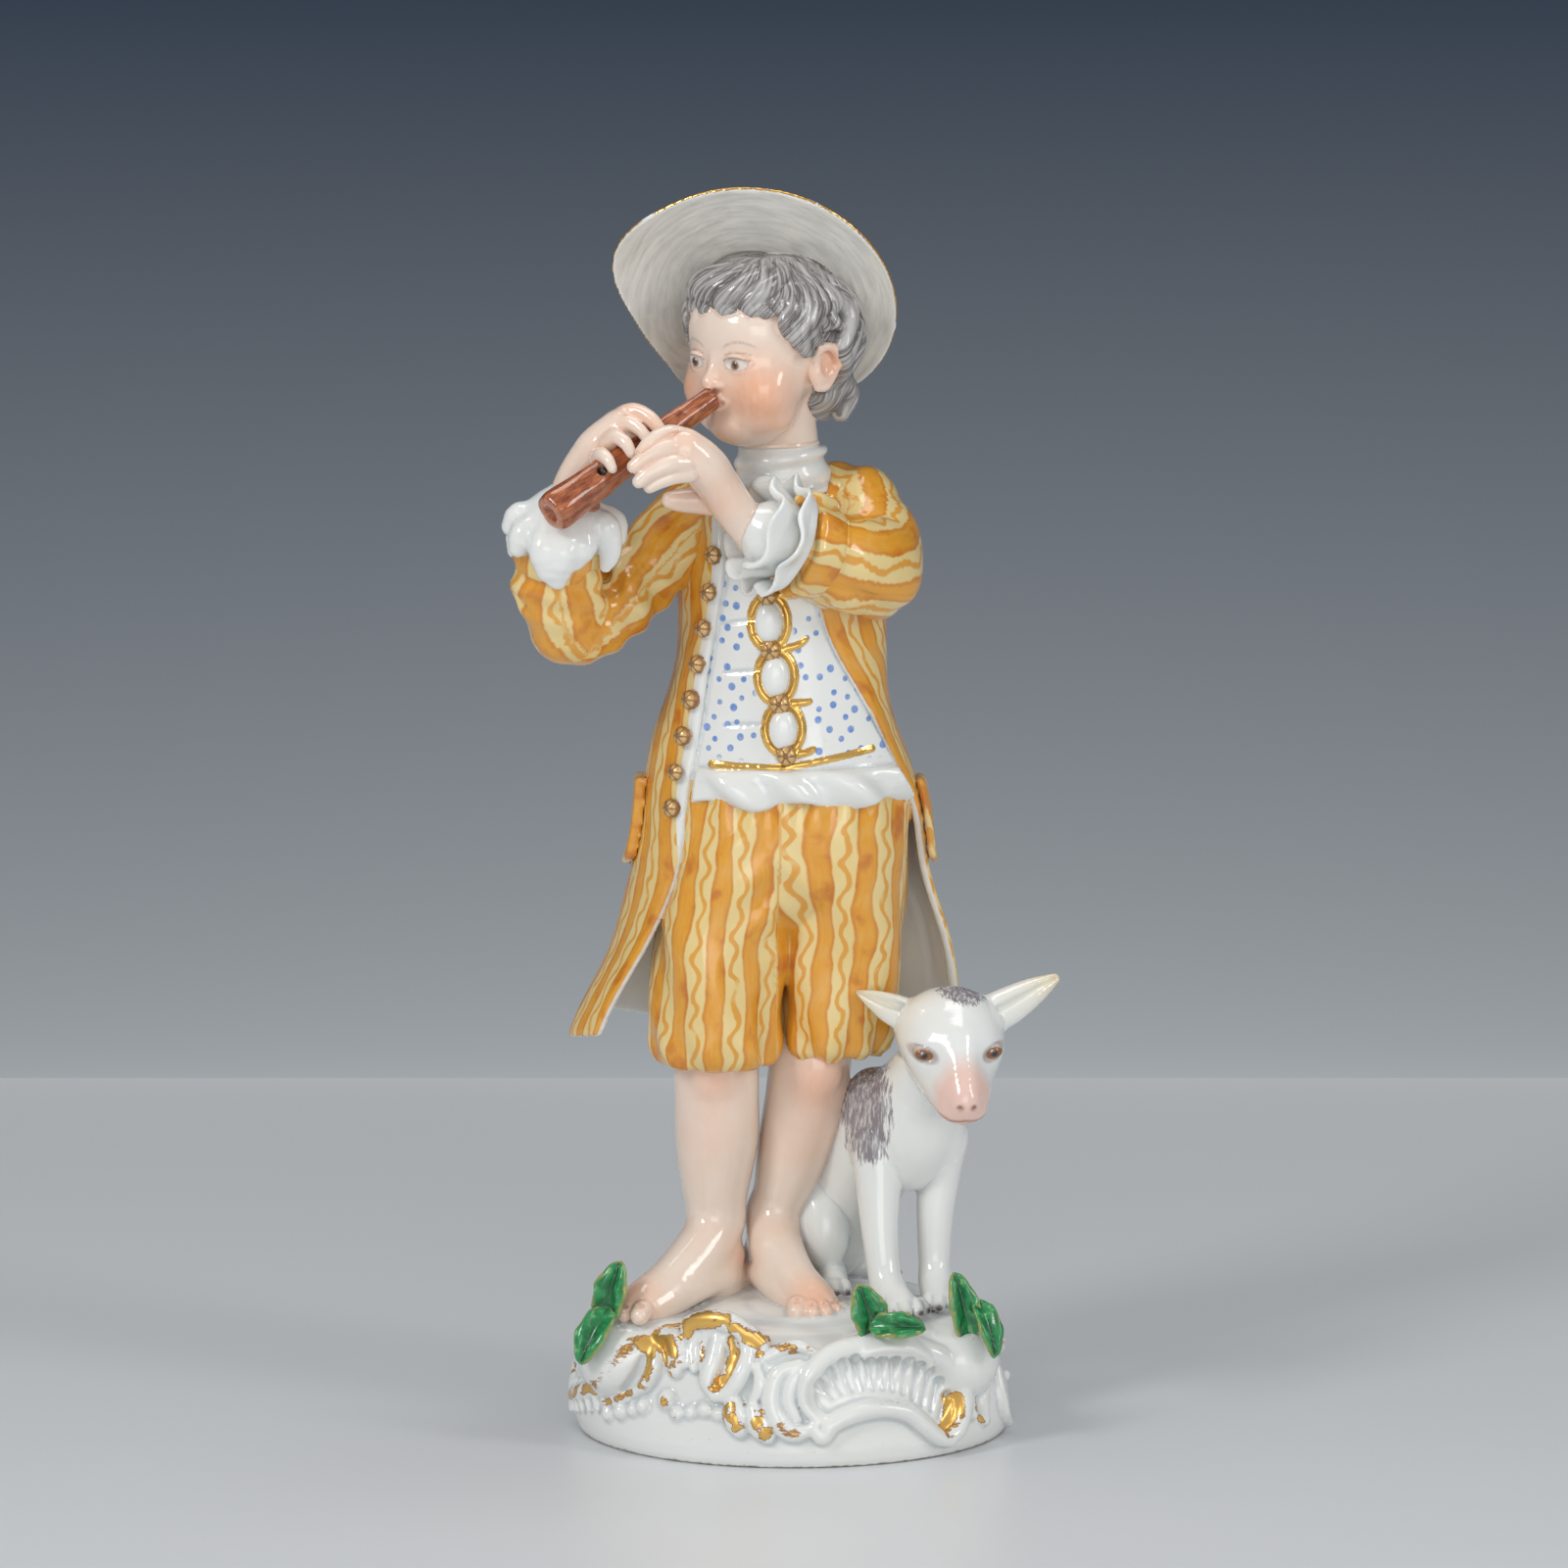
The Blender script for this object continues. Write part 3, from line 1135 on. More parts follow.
leg(
    "right_leg_and_foot", "right_leg",
    [(13.4, -9.0, 1.2, 3.2, 4.0), (15.4, -9.0, 0.9, 3.2, 3.9), (19, -9.1, 0.9, 3.1, 3.8),
     (23.5, -9.3, 0.9, 3.1, 3.5), (28, -9.3, 0.7, 4.0, 4.5), (34.5, -9.1, 0.2, 5.1, 5.7),
     (40, -9.1, -1.0, 5.2, 5.4), (45, -9.1, -1.7, 5.2, 5.1), (50, -8.9, -1.7, 4.9, 4.9),
     (53, -8.9, -1.7, 4.9, 4.9)],
    [(-7.6, 2.6, 17.4, 2.5, 2.3), (-9.6, -0.8, 18.4, 3.2, 3.1), (-12.4, -3.9, 18.2, 3.5, 3.0),
     (-15.4, -6.8, 17.4, 3.7, 2.4), (-17.4, -8.6, 16.6, 3.6, 1.9)],
    [(-8.9, 0.4, 25.0, 3.2), (-11.0, -2.2, 21.8, 3.4), (-14.2, -5.6, 18.9, 3.1), (-17.2, -8.4, 17.5, 2.4)],
    toe_fan((-16.4, -8.0, 16.6), [(-18.1, -13.0, 16.3), (-20.0, -11.8, 16.1), (-21.1, -10.1, 16.0),
                                  (-21.5, -8.2, 15.9), (-21.2, -6.3, 15.8)], (1.25, 1.0, 0.95, 0.9, 0.82)),
    (-7.0, 3.4, 16.4), (-9.2, -5.6, 44.2), [(-6.8, 0.2, 20.8), (-11.6, 0.8, 20.2)],
    [(-9.2, -7, 43.5, 5, 0.55), (-9.2, -5, 36, 7, 0.25), (-8, 4, 16, 4, 0.5), (-19, -10, 17.5, 4.5, 0.75),
     (-10, -1.5, 23, 4, 0.35), (-6.2, -1.0, 20.8, 2.2, 0.5)],
)
leg(
    "left_leg_and_foot", "left_leg",
    [(13.4, -2.6, 3.8, 3.1, 3.9), (15.4, -2.6, 3.7, 3.1, 3.8), (19, -2.6, 3.8, 3.0, 3.7),
     (23.5, -2.2, 4.0, 3.0, 3.4), (28, -1.0, 3.7, 3.8, 4.4), (34.5, 0.6, 3.0, 4.8, 5.3),
     (40, 1.6, 1.9, 5.0, 5.2), (45, 2.2, 1.3, 5.0, 4.9), (50, 2.6, 1.4, 4.7, 4.7), (53, 2.6, 1.4, 4.7, 4.7)],
    [(-4.1, 5.2, 17.3, 2.5, 2.3), (-2.9, 1.9, 18.4, 3.1, 3.1), (-1.3, -1.8, 18.1, 3.4, 3.0),
     (0.6, -5.2, 17.4, 3.6, 2.4), (1.8, -7.4, 16.8, 3.5, 1.9)],
    [(-2.6, 3.4, 25.0, 3.1), (-2.0, 0.2, 21.8, 3.3), (-0.2, -4.0, 18.9, 3.0), (1.6, -7.2, 17.6, 2.4)],
    toe_fan((1.2, -6.6, 16.8), [(0.4, -11.7, 16.5), (2.3, -11.9, 16.4), (3.9, -11.0, 16.3),
                                (5.0, -9.4, 16.2), (5.6, -7.4, 16.1)], (1.25, 1.0, 0.95, 0.9, 0.82)),
    (-4.4, 6.0, 16.4), (3.0, -2.4, 43.6), [(-4.8, 3.0, 20.6), (0.2, 3.4, 20.2)],
    [(3.2, -3.4, 42.5, 5.5, 0.7), (2.2, -2, 35, 7, 0.35), (-4, 7, 16, 4, 0.4), (2.6, -9.6, 17.5, 4.6, 0.8),
     (-1.5, 0, 22.5, 4, 0.4), (0.6, 2.0, 20.6, 2.2, 0.4)],
)


# ---------------------------------------------------------------- breeches


BREECH_RIGHT = [
    (44.6, -9.0, -2.6, 6.3, 5.9), (45.6, -9.0, -2.8, 7.3, 7.0), (48, -9.0, -2.8, 7.8, 7.7),
    (53, -8.9, -2.4, 7.9, 7.9), (62, -8.2, -1.6, 8.0, 8.9), (70, -6.8, -0.8, 8.0, 9.6),
    (75, -6.2, -0.6, 6.9, 9.4), (79, -6.0, -0.4, 5.0, 8.4),
]
BREECH_LEFT = [
    (45.4, 4.8, 1.0, 5.7, 5.8), (46.4, 4.9, 1.0, 6.6, 6.8), (49, 5.2, 1.0, 7.1, 7.4),
    (53, 5.4, 0.8, 7.2, 7.6), (62, 5.9, 0.6, 7.8, 8.7), (70, 5.0, 0.2, 8.4, 9.7), (75, 4.6, 0.0, 7.3, 9.6),
    (79, 4.4, 0.0, 5.0, 8.8),
]
BREECH_HIPS = [
    (60, -1.0, 0.2, 9.0, 4.0), (63, -1.0, 0.2, 12.0, 7.2), (66, -1.0, 0.2, 14.0, 9.4),
    (70, -1.0, 0.2, 14.6, 10.2), (74, -0.9, 0.2, 14.6, 10.4), (77.5, -0.9, 0.3, 14.6, 10.1),
    (80.3, -0.9, 0.3, 14.4, 9.8),
]


def breeches_folds(block):
    """Gathers at the hems, and creases that run down from the crotch and hips."""
    x, y, z = block.x, block.y, block.z
    right = x < -1.9
    cx, cy = np.where(right, -8.8, 5.2), np.where(right, -2.2, 0.9)
    angle = np.arctan2(y - cy, x - cx)
    hem = np.exp(-((z - 46.8) / 2.6) ** 2)
    gathers = 0.42 * np.sin(9 * angle + 0.3 * z) * hem
    soft = 0.55 * np.sin(4 * angle + 0.22 * z + np.where(right, 0.0, 1.3)) * np.exp(-((z - 57) / 9) ** 2)
    crease = np.sin(0.95 * z + 0.9 * np.abs(x + 1.9)) * np.exp(-((z - 65) / 6) ** 2
                                                               - ((x + 1.9) / 4.5) ** 2) * 0.35
    waist = 0.25 * np.sin(x * 1.7) * clip01((z - 72) / 5)
    return gathers + soft + crease + waist


def breeches_stripes(p):
    """Stripes hang straight down each leg, fanned a little towards the hem."""
    right = p.x < np.interp(p.z, (45, 60, 80), (-1.9, -1.9, -1.2))
    spread = np.interp(p.z, (45, 62, 80), (1.0, 0.94, 0.86))
    cx = np.where(right, np.interp(p.z, (45, 62, 80), (-9.0, -8.4, -7.0)),
                  np.interp(p.z, (45, 62, 80), (5.0, 6.2, 6.4)))
    cy = np.where(right, -2.4, 0.8)
    angle = np.arctan2(p.x - cx, -(p.y - cy))
    across = angle * 7.9 / spread + np.where(right, 40.2, 71.0)
    return columns(across, p.z, 0 * p.z)


breeches = Piece("striped_breeches", "breeches", "striped", 0.3, 0.35)
breeches.add(loft(smooth_rows(BREECH_HIPS), 2.5))
breeches.add(loft(smooth_rows(BREECH_RIGHT)), 1.0)
breeches.add(loft(smooth_rows(BREECH_LEFT)), 0.8)
breeches.cut(tube([(-1.9, -12.4, 66, 1.2), (-1.9, -10.4, 60, 1.6), (-1.9, -8.8, 54, 1.8),
                   (-1.9, -8.0, 46, 2.0)]), 1.4)
for crease in (
    [(-4.4, -11.5, 71.0, 0.6), (-6.6, -11.4, 67.5, 0.8), (-8.8, -11.3, 63.0, 0.5)],
    [(-0.8, -11.3, 70.6, 0.6), (1.6, -11.1, 67.0, 0.8), (4.2, -10.6, 62.5, 0.5)],
    [(-6.2, -11.1, 74.6, 0.5), (-9.6, -10.6, 71.2, 0.8), (-12.6, -9.0, 67.0, 0.5)],
    [(0.4, -11.1, 74.8, 0.5), (4.8, -10.9, 71.6, 0.8), (9.2, -9.6, 68.4, 0.5)],
    [(-10.6, -10.4, 79.0, 0.6), (-11.0, -10.3, 75.0, 0.6), (-11.8, -9.8, 71.0, 0.3)],
    [(7.6, -10.4, 79.0, 0.6), (8.2, -10.4, 75.0, 0.6), (9.6, -9.8, 71.0, 0.3)],
    [(-11.6, -10.6, 60.0, 0.4), (-10.6, -11.3, 55.0, 0.8), (-11.4, -10.9, 49.0, 0.6)],
    [(5.0, -9.0, 60.0, 0.4), (6.0, -8.6, 55.0, 0.8), (5.2, -8.0, 49.0, 0.6)],
):
    breeches.cut(tube(crease), 0.9)
breeches.cut(tube([(-1.6, -10.6, 79, 0.35), (-1.3, -10.8, 75, 0.4), (-2.0, -10.6, 70, 0.5),
                   (-1.9, -10.0, 65, 0.5)]), 0.5)
breeches.warp(breeches_folds)
breeches.keep(slab(44.6, 79.4), 0.5)
breeches.paint("coat", breeches_stripes)


# ---------------------------------------------------------------- body


WAISTCOAT = [
    (79.2, -0.9, 0.3, 15.3, 9.9), (82, -0.9, 0.3, 14.8, 9.85), (86, -0.9, 0.3, 13.8, 9.5),
    (93, -1.0, 0.3, 12.8, 9.3), (101, -1.0, 0.4, 12.0, 9.1), (107, -0.9, 0.8, 11.0, 8.3),
    (111, -0.8, 1.2, 9.2, 6.9), (113.6, -0.8, 1.4, 6.4, 5.6),
]
TOGGLE_LINE = [(-3.0, 101.7), (-2.6, 95.2), (-1.4, 88.9), (-0.8, 82.9)]


def waistcoat_front(x, z):
    """Where the waistcoat's front surface is, along y."""
    rows = smooth_rows(WAISTCOAT)
    cx, cy, rx, ry = (np.interp(z, rows[:, 0], rows[:, k]) for k in range(1, 5))
    return cy - ry * math.sqrt(max(0.0, 1 - ((x - cx) / rx) ** 2))


def lacing():
    """Gold lines of the frogging and the hem on the waistcoat's front, as (x, z, half-width) paths."""
    lines = []
    for (x1, z1), (x2, z2) in zip(TOGGLE_LINE, TOGGLE_LINE[1:]):
        cx, cz, half = (x1 + x2) / 2, (z1 + z2) / 2, (z1 - z2) / 2
        lines.append([(cx + 2.2 * math.sin(t), cz + half * 0.97 * math.cos(t), 0.3) for t in circle(15)])
    for (x, z), (dx, dz) in zip(TOGGLE_LINE, ((3.6, -0.1), (4.1, 1.2), (3.4, 0.2), (3.2, 0.6))):
        lines.append([(x + 1.0, z, 0.3), (x + 1.0 + dx * 0.5, z + dz * 0.4, 0.26), (x + dx, z + dz, 0.16)])
    lines.append([(-9.6, 81.5, 0.24), (-5, 81.4, 0.18), (-1, 81.4, 0.22), (4, 82.2, 0.2), (9.4, 83.2, 0.22)])
    return lines


def lace_shapes():
    """The lacing as thin ridges on the waistcoat."""
    found = []
    for line in lacing():
        found.append(tube([(x, waistcoat_front(x, z) - 0.05, z, half) for x, z, half in line], per=2))
    return union(found)


def lace_coords(p):
    front = clip01((-p.y - 2.5) / 2.0) * clip01((p.z - 82.0) / 0.8)
    middle = np.interp(p.z, [z for _, z in TOGGLE_LINE[::-1]], [x for x, _ in TOGGLE_LINE[::-1]])
    clear = clip01((np.abs(p.x - middle) - 2.7) / 0.3)
    return columns(np.clip(lace_shapes().measure(p), -1, 2), front * clear, 0 * p.z)


def dot_spots():
    """Clusters of three or four painted dots over the waistcoat's front, as (x, z, radius)."""
    found = []
    for row, z in enumerate(np.arange(82.3, 109.0, 3.5)):
        for column in range(-5, 6):
            x = 0.2 + column * 3.7 + (1.85 if row % 2 else 0.0)
            for k in range(4 - (3 * row + 5 * column) % 2):
                turn = 1.45 * k + 0.9 * row + 2.3 * column
                far = 1.15 + 0.2 * math.sin(2.0 * k + row)
                size = 0.37 + 0.06 * math.sin(3.1 * k + row + 1.7 * column)
                found.append((x + far * math.cos(turn) * 1.1, z + far * math.sin(turn) * 1.05, size))
    return np.array(found)


def dot_distance(p):
    """Millimetres from the nearest painted dot's edge, below 0 inside it."""
    spots = dot_spots()
    nearest = np.full(len(p.x), 2.0)
    for x, z, radius in spots:
        nearest = np.minimum(nearest, np.hypot(p.x - x, (p.z - z) * 0.9) - radius)
    return nearest


waistcoat = Piece("waistcoat", "waistcoat_body", "dots", 0.25, 0.5)
waistcoat.add(loft(smooth_rows(WAISTCOAT)))
waistcoat.add(lace_shapes(), 0.15)
for z, lean in ((98.2, 0.5), (92.4, 0.3), (86.2, 0.2)):
    waistcoat.cut(tube([(-8.2, waistcoat_front(-8.2, z) - 0.1, z, 0.2),
                        (-5, waistcoat_front(-5, z) - 0.05, z + lean, 0.3),
                        (-3.4, waistcoat_front(-3.4, z), z + lean * 1.6, 0.12)]), 0.5)
waistcoat.keep(slab(79.3, 111.7), 0.3)
waistcoat.paint("lace", lace_coords)
waistcoat.paint("dots", dot_distance)

frill = Piece("shirt_frill_folds", "shirt_frill", "white", 0.25, 0.6)


def frill_body(block):
    """A wavy band of cloth round the front, below the waistcoat."""
    across, back, z = (block.x + 0.9) / 1.41, block.y - 0.3, block.z
    angle = np.arctan2(across, -back)
    radial = (np.abs(across) ** 2.5 + np.abs(back) ** 2.5) ** 0.4
    wave = np.sin(12 * angle + 0.9 * np.sin(3.1 * angle) + 0.7 * (z - 78))
    low = 76.6 + 0.55 * np.sin(8.5 * angle + 0.6)
    swell = (10.5 + 0.85 * np.maximum(np.sin(clip01((81.4 - z) / 5.2) * math.pi), 0) ** 0.8
             + 0.62 * wave * clip01((81.9 - z) / 2.4))
    face = (radial - swell) * 0.9
    ends = (np.abs(angle - math.radians(6)) - math.radians(66)) * 10
    shell = np.maximum(face, 8.6 - radial)
    return blend_max(blend_max(shell, np.maximum(low - z, z - 81.1), 1.0), ends, 1.0)


frill.add(Shape(frill_body, (-16.5, -13.5, 75), (15.5, -1, 82)))


# ---------------------------------------------------------------- coat


# z, centre x, centre y, reach to the boy's right and left, half-depth, and the front edges' turns.
COAT = np.array([
    (43.6, -1.0, 3.6, 26.6, 23.2, 15.2, 66, 95), (50, -1.0, 3.2, 24.6, 21.8, 14.7, 62, 93),
    (60, -1.0, 2.8, 20.4, 19.6, 14.0, 54, 89), (70, -1.2, 2.2, 17.4, 17.4, 13.4, 45, 84),
    (80, -1.4, 1.5, 16.3, 15.6, 12.6, 43, 70), (90, -1.4, 1.0, 13.3, 12.8, 11.7, 44, 46),
    (98, -1.2, 1.0, 12.8, 12.3, 11.1, 39, 24), (105, -0.9, 1.3, 13.0, 12.6, 10.5, 34, 14),
    (110.8, -0.8, 1.6, 12.4, 12.4, 8.6, 36, 14), (113.9, -0.8, 1.6, 7.6, 7.6, 6.6, 42, 20),
    (115.5, -0.8, 1.6, 5.6, 5.6, 5.4, 42, 24),
])
COAT_FINE = smooth_rows(COAT, 6)
COAT_WALL = 1.35
SEAM_RIGHT, SEAM_LEFT = 98, 262  # the side seams' turns


def coat_frame(b):
    """Turn from the front by way of the boy's right, in degrees; distance outside the coat; distances past
    the right and left front edges; and the length of one degree."""
    cx, cy, right, left, deep, edge_r, edge_l = (np.interp(b.z, COAT_FINE[:, 0], COAT_FINE[:, k])
                                                 for k in range(1, 8))
    u, v = -(b.x - cx), -(b.y - cy)
    reach = np.where(u > 0, right, left)
    a, c = u / reach, v / deep
    ratio = np.sqrt(a * a + c * c) + 1e-6
    turn = np.degrees(np.arctan2(a, c)) % 360
    sine, cosine = a / ratio, c / ratio
    radius = np.sqrt((reach * sine) ** 2 + (deep * cosine) ** 2)
    skirt = clip01((76 - b.z) / 30)
    back = clip01(np.sin(np.radians(turn) - math.pi / 2)) ** 0.5
    pleats = skirt * (0.75 * np.cos(np.radians(turn * 9)) * back + 0.35 * np.cos(np.radians(turn * 7 + 30)))
    vent = -0.9 * skirt * np.exp(-(((turn - 180) / 3.0) ** 2))
    sag = 0.25 * np.sin(b.z * 0.33 + np.radians(turn * 3)) * clip01((104 - b.z) / 10)
    out = (ratio - 1) * radius * 0.93 - pleats - vent - sag
    arc = radius * math.pi / 180
    return turn, out.astype(np.float32), (turn - edge_r) * arc, ((360 - edge_l) - turn) * arc, arc


def coat_body(start, end, hem):
    """One panel of the coat between two seams; None is a free front edge."""

    def measure(block):
        turn, out, from_right, from_left, arc = coat_frame(block)
        bottom = hem(turn)
        shell = blend_max(out, -(out + COAT_WALL), 0.5)
        first = -from_right if start is None else (start - turn) * arc
        last = -from_left if end is None else (turn - end) * arc
        shell = blend_max(shell, first, 1.1 if start is None else 0.02)
        shell = blend_max(shell, last, 1.1 if end is None else 0.02)
        return blend_max(shell, np.maximum(bottom - block.z, block.z - 114.2), 1.0)

    return measure


def coat_paint(p):
    """Millimetres across and along the stripes, and depth: the facing down the right front is white."""
    turn, out, from_right, from_left, _ = coat_frame(p)
    facing = np.interp(p.z, (66, 78, 108), (0.0, 2.5, 2.7))
    hold = clip01(1 - (turn - 50) / 70)
    right = (from_right - facing) * hold + (turn - 55) * 0.29 * (1 - hold) - 1.05
    keep = clip01(1 - (360 - turn - 60) / 70)
    left = (from_left - 0.2) * keep + (360 - turn - 60) * 0.29 * (1 - keep) + 0.35
    middle = (turn - SEAM_RIGHT) / (SEAM_LEFT - SEAM_RIGHT) * 12 * 4.6
    across = np.where(turn < SEAM_RIGHT, right, np.where(turn > SEAM_LEFT, -left + 44.8, middle))
    depth = np.clip(-out, 0, 2)
    strip = clip01((facing * 0.72 - from_right) / 0.4) * (turn < SEAM_RIGHT) * (p.z > 67)
    depth = np.maximum(depth, strip * 0.6)
    return columns(across + 1.2, p.z, depth)


def rear_hem(turn):
    return 47.6 - np.cos(np.radians(turn * 2)) + 0.35 * np.cos(np.radians(turn * 9))


# Name, node, the seams or free edges it runs between, its hem, and the box that holds it.
PANELS = [
    ("coat_right_front", "coat_front_right", None, SEAM_RIGHT, lambda turn: 47.0 + 0.05 * (80 - turn),
     (-28.5, -14.5, 43.5), (-4, 8, 115)),
    ("coat_rear", "coat_back", SEAM_RIGHT, SEAM_LEFT, rear_hem, (-28.5, -4.0, 43.5), (25.5, 21, 115)),
    ("coat_left_front", "coat_front_left", SEAM_LEFT, None, lambda turn: 47.4 + 0 * turn,
     (0, -14.5, 43.5), (25.5, 8, 115)),
]
for name, node, start, end, hem, low, high in PANELS:
    panel = Piece(name, node, "striped", 0.33, 0.4)
    panel.add(Shape(coat_body(start, end, hem), low, high))
    panel.paint("coat", coat_paint)


def pocket_flap(name, node, turn_middle):
    """A flap laid on the coat, 26 degrees of turn wide, with its stripes out of step with the coat's."""

    def body(block):
        turn, out, _, _, arc = coat_frame(block)
        side = (np.abs(turn - turn_middle) - 13) * arc
        drop = 68.4 - 0.5 * np.cos(np.radians((turn - turn_middle) * 14))
        shell = blend_max(np.abs(out - 0.55) - 0.6, side, 0.7)
        return blend_max(shell, np.maximum(drop - block.z, block.z - 78.8), 0.7)

    low, high = box_mm(node)
    piece = Piece(name, node, "striped", 0.25, 0.3)
    piece.add(Shape(body, low - 0.6, high + 0.6))

    def flap_paint(p):
        found = coat_paint(p)
        found[:, 2] = 0
        found[:, 0] += 2.3
        return found

    piece.paint("coat", flap_paint)


def box_mm(node):
    low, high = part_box(node)
    return np.array(low) / MM, np.array(high) / MM


def middle_of(node):
    low, high = box_mm(node)
    return (low + high) / 2


def within_coat(block):
    """The room inside the coat, which widens where the coat hangs open."""
    _, out, from_right, from_left, _ = coat_frame(block)
    opening = np.clip(np.maximum(-from_right, -from_left) * 0.8, 0, 3.0)
    return out + 0.9 - opening


inside_coat = Shape(within_coat, (-FAR,) * 3, (FAR,) * 3)
waistcoat.keep(inside_coat)
frill.keep(inside_coat)
breeches.keep(inside_coat)
pocket_flap("pocket_flap_on_right", "pocket_flap_right", 92)
pocket_flap("pocket_flap_on_left", "pocket_flap_left", 268)


# ---------------------------------------------------------------- arms


def along_path(p, path, up):
    """Millimetres round and along a tube path, for points near it."""
    path = np.array(path, np.float64)
    best = np.full(len(p.x), FAR)
    around, along = np.zeros(len(p.x)), np.zeros(len(p.x))
    start = 0.0
    for a, b in zip(path, path[1:]):
        step = b[:3] - a[:3]
        length = np.linalg.norm(step)
        u, v, w = local(p, a[:3], running(step, up))
        t = clip01(u / length)
        gap = (u - t * length) ** 2 + v * v + w * w
        closer = gap < best
        best = np.where(closer, gap, best)
        around = np.where(closer, np.arctan2(v, w) * (a[3] + b[3]) / 2, around)
        along = np.where(closer, start + t * length, along)
        start += length
    return around, along


def sleeve(name, node, path, up, cuts, swells, shift, creases):
    """A tube of cloth. Cuts are grooves, swells are balls (centre, radii), shift moves the stripes across,
    and creases are waves (origin, direction, radians per millimetre, depth, reach)."""
    piece = Piece(name, node, "striped", 0.28, 0.5)
    piece.add(tube(path))
    for centre, radii in swells:
        piece.add(ball(centre, radii), 2.0)
    for points in cuts:
        piece.cut(tube(points), 0.9)
    fine = smooth_path(path, 4)

    def folds(block):
        out = np.zeros(block.shape, np.float32)
        for origin, direction, wave, depth, width in creases:
            (u,) = local(block, origin, (unit(direction),))
            out = out + depth * np.sin(u * wave) * np.exp(-(u / width) ** 2)
        return out

    piece.warp(folds)

    def paint(p):
        around, along = along_path(p, fine, up)
        return columns(around * 0.8 + shift, along, 0 * along)

    piece.paint("coat", paint)


RIGHT_SLEEVE = [
    (-9.6, 2.2, 110.6, 4.8), (-12.4, 0.4, 108.8, 4.9), (-16.8, -2.4, 104.4, 4.8), (-21.6, -5.8, 99.9, 4.7),
    (-25.0, -8.4, 98.1, 4.6), (-26.6, -10.2, 100.4, 4.8), (-27.0, -11.6, 104.0, 4.7),
    (-27.0, -12.2, 106.4, 4.5),
]
LEFT_SLEEVE = [
    (5.2, 3.2, 110.9, 5.0), (7.2, 2.0, 109.8, 5.4), (8.8, -0.8, 107.6, 5.8), (9.2, -4.2, 105.4, 5.9),
    (8.4, -7.2, 105.0, 5.8), (6.4, -9.5, 105.6, 5.6), (4.2, -11.2, 106.6, 5.2),
]
sleeve(
    "right_sleeve_folds", "right_sleeve", RIGHT_SLEEVE, (0, 1, 0.2),
    [
        [(-18.5, -7.2, 107.6, 0.3), (-20.6, -9.6, 103.6, 0.9), (-23.2, -12.0, 101.8, 0.7)],
        [(-22.0, -4.0, 104.4, 0.5), (-22.4, -8.2, 104.2, 1.1), (-23.8, -11.6, 104.6, 0.7)],
        [(-30.4, -14.4, 98.6, 0.3), (-32.4, -12.4, 102.6, 0.5)],
    ],
    [((-20.2, -7.2, 100.6), (3.6, 3.2, 3.4)), ((-26.6, -9.4, 97.4), (3.9, 3.9, 3.6)),
     ((-30.4, -11.8, 103.2), (2.4, 2.6, 3.4))],
    2.0,
    [((-22, -8, 102), (1, 0.2, 0.4), 1.5, 0.22, 7), ((-28, -11, 103), (0.2, 0, 1), 1.9, 0.2, 5)],
)
sleeve(
    "left_sleeve_folds", "left_sleeve", LEFT_SLEEVE, (0, 0, 1),
    [
        [(5.4, -12.2, 111.8, 0.3), (6.6, -10.6, 110.8, 0.8), (8.4, -6.6, 111.2, 0.5)],
        [(3.6, -16.4, 104.2, 0.3), (6.8, -15.0, 102.6, 0.6), (9.4, -12.6, 101.8, 0.3)],
    ],
    [((9.8, -6.0, 103.6), (4.9, 5.0, 4.9)), ((7.6, 1.6, 111.6), (4.8, 4.6, 3.8)),
     ((5.6, -10.2, 104.2), (4.6, 4.4, 4.2))],
    1.2,
    [((8, -9, 106), (0.9, -0.5, 0.3), 1.4, 0.22, 7)],
)


def band(name, node, start, end, radii, colour_shift, frills, depth, up):
    """A turned cuff: a flared sleeve end with a wavy rolled rim."""
    start, end = vec(*start), vec(*end)
    axes, length = running(end - start, up), float(np.linalg.norm(end - start))

    def body(block):
        u, v, w = local(block, start, axes)
        radius = np.interp(u / length, np.linspace(0, 1, len(radii)), radii)
        wave = depth * np.cos(frills * np.arctan2(v, w)) * clip01(u / length)
        radial = np.sqrt(v * v + w * w) - radius - wave
        return blend_max(radial * 0.94, np.maximum(-u, u - length), 1.1)

    def paint(p):
        around, along = along_path(p, [(*start, radii[0]), (*end, radii[-1])], up)
        return columns(around * 0.8 + colour_shift, along, 0 * along)

    piece = Piece(name, node, "striped", 0.25, 0.4)
    piece.add(Shape(body, *box_round(start, end, max(radii) + depth + 0.6)))
    piece.paint("coat", paint)
    return piece


band("right_cuff_turned", "right_cuff", (-27.75, -11.95, 104.9), (-27.1, -13.0, 108.6),
                  (4.85, 5.2, 5.45), 2.0, 7, 0.16, (0, 1, 0.2))
left_cuff = band("left_cuff_turned", "left_cuff", (3.9, -11.2, 106.7), (0.3, -12.9, 108.1),
                 (5.55, 5.9, 6.1), 1.2, 8, 0.22, (0, 0, 1))
left_cuff.add(tube([(0.9, -14.6, 113.6, 0.7), (2.8, -13.6, 113.6, 0.9), (4.6, -12.0, 112.8, 0.7)]), 0.8)


def ruffle(name, node, core, lobes):
    """A ruffle of soft lobes that hang round the wrist."""
    piece = Piece(name, node, "white", 0.25, 0.5)
    piece.add(tube([(x, y, z, r * 1.12) for x, y, z, r in core]))
    for points in lobes:
        piece.add(tube([(x, y, z, r * 1.2) for x, y, z, r in points], per=3), 1.5)


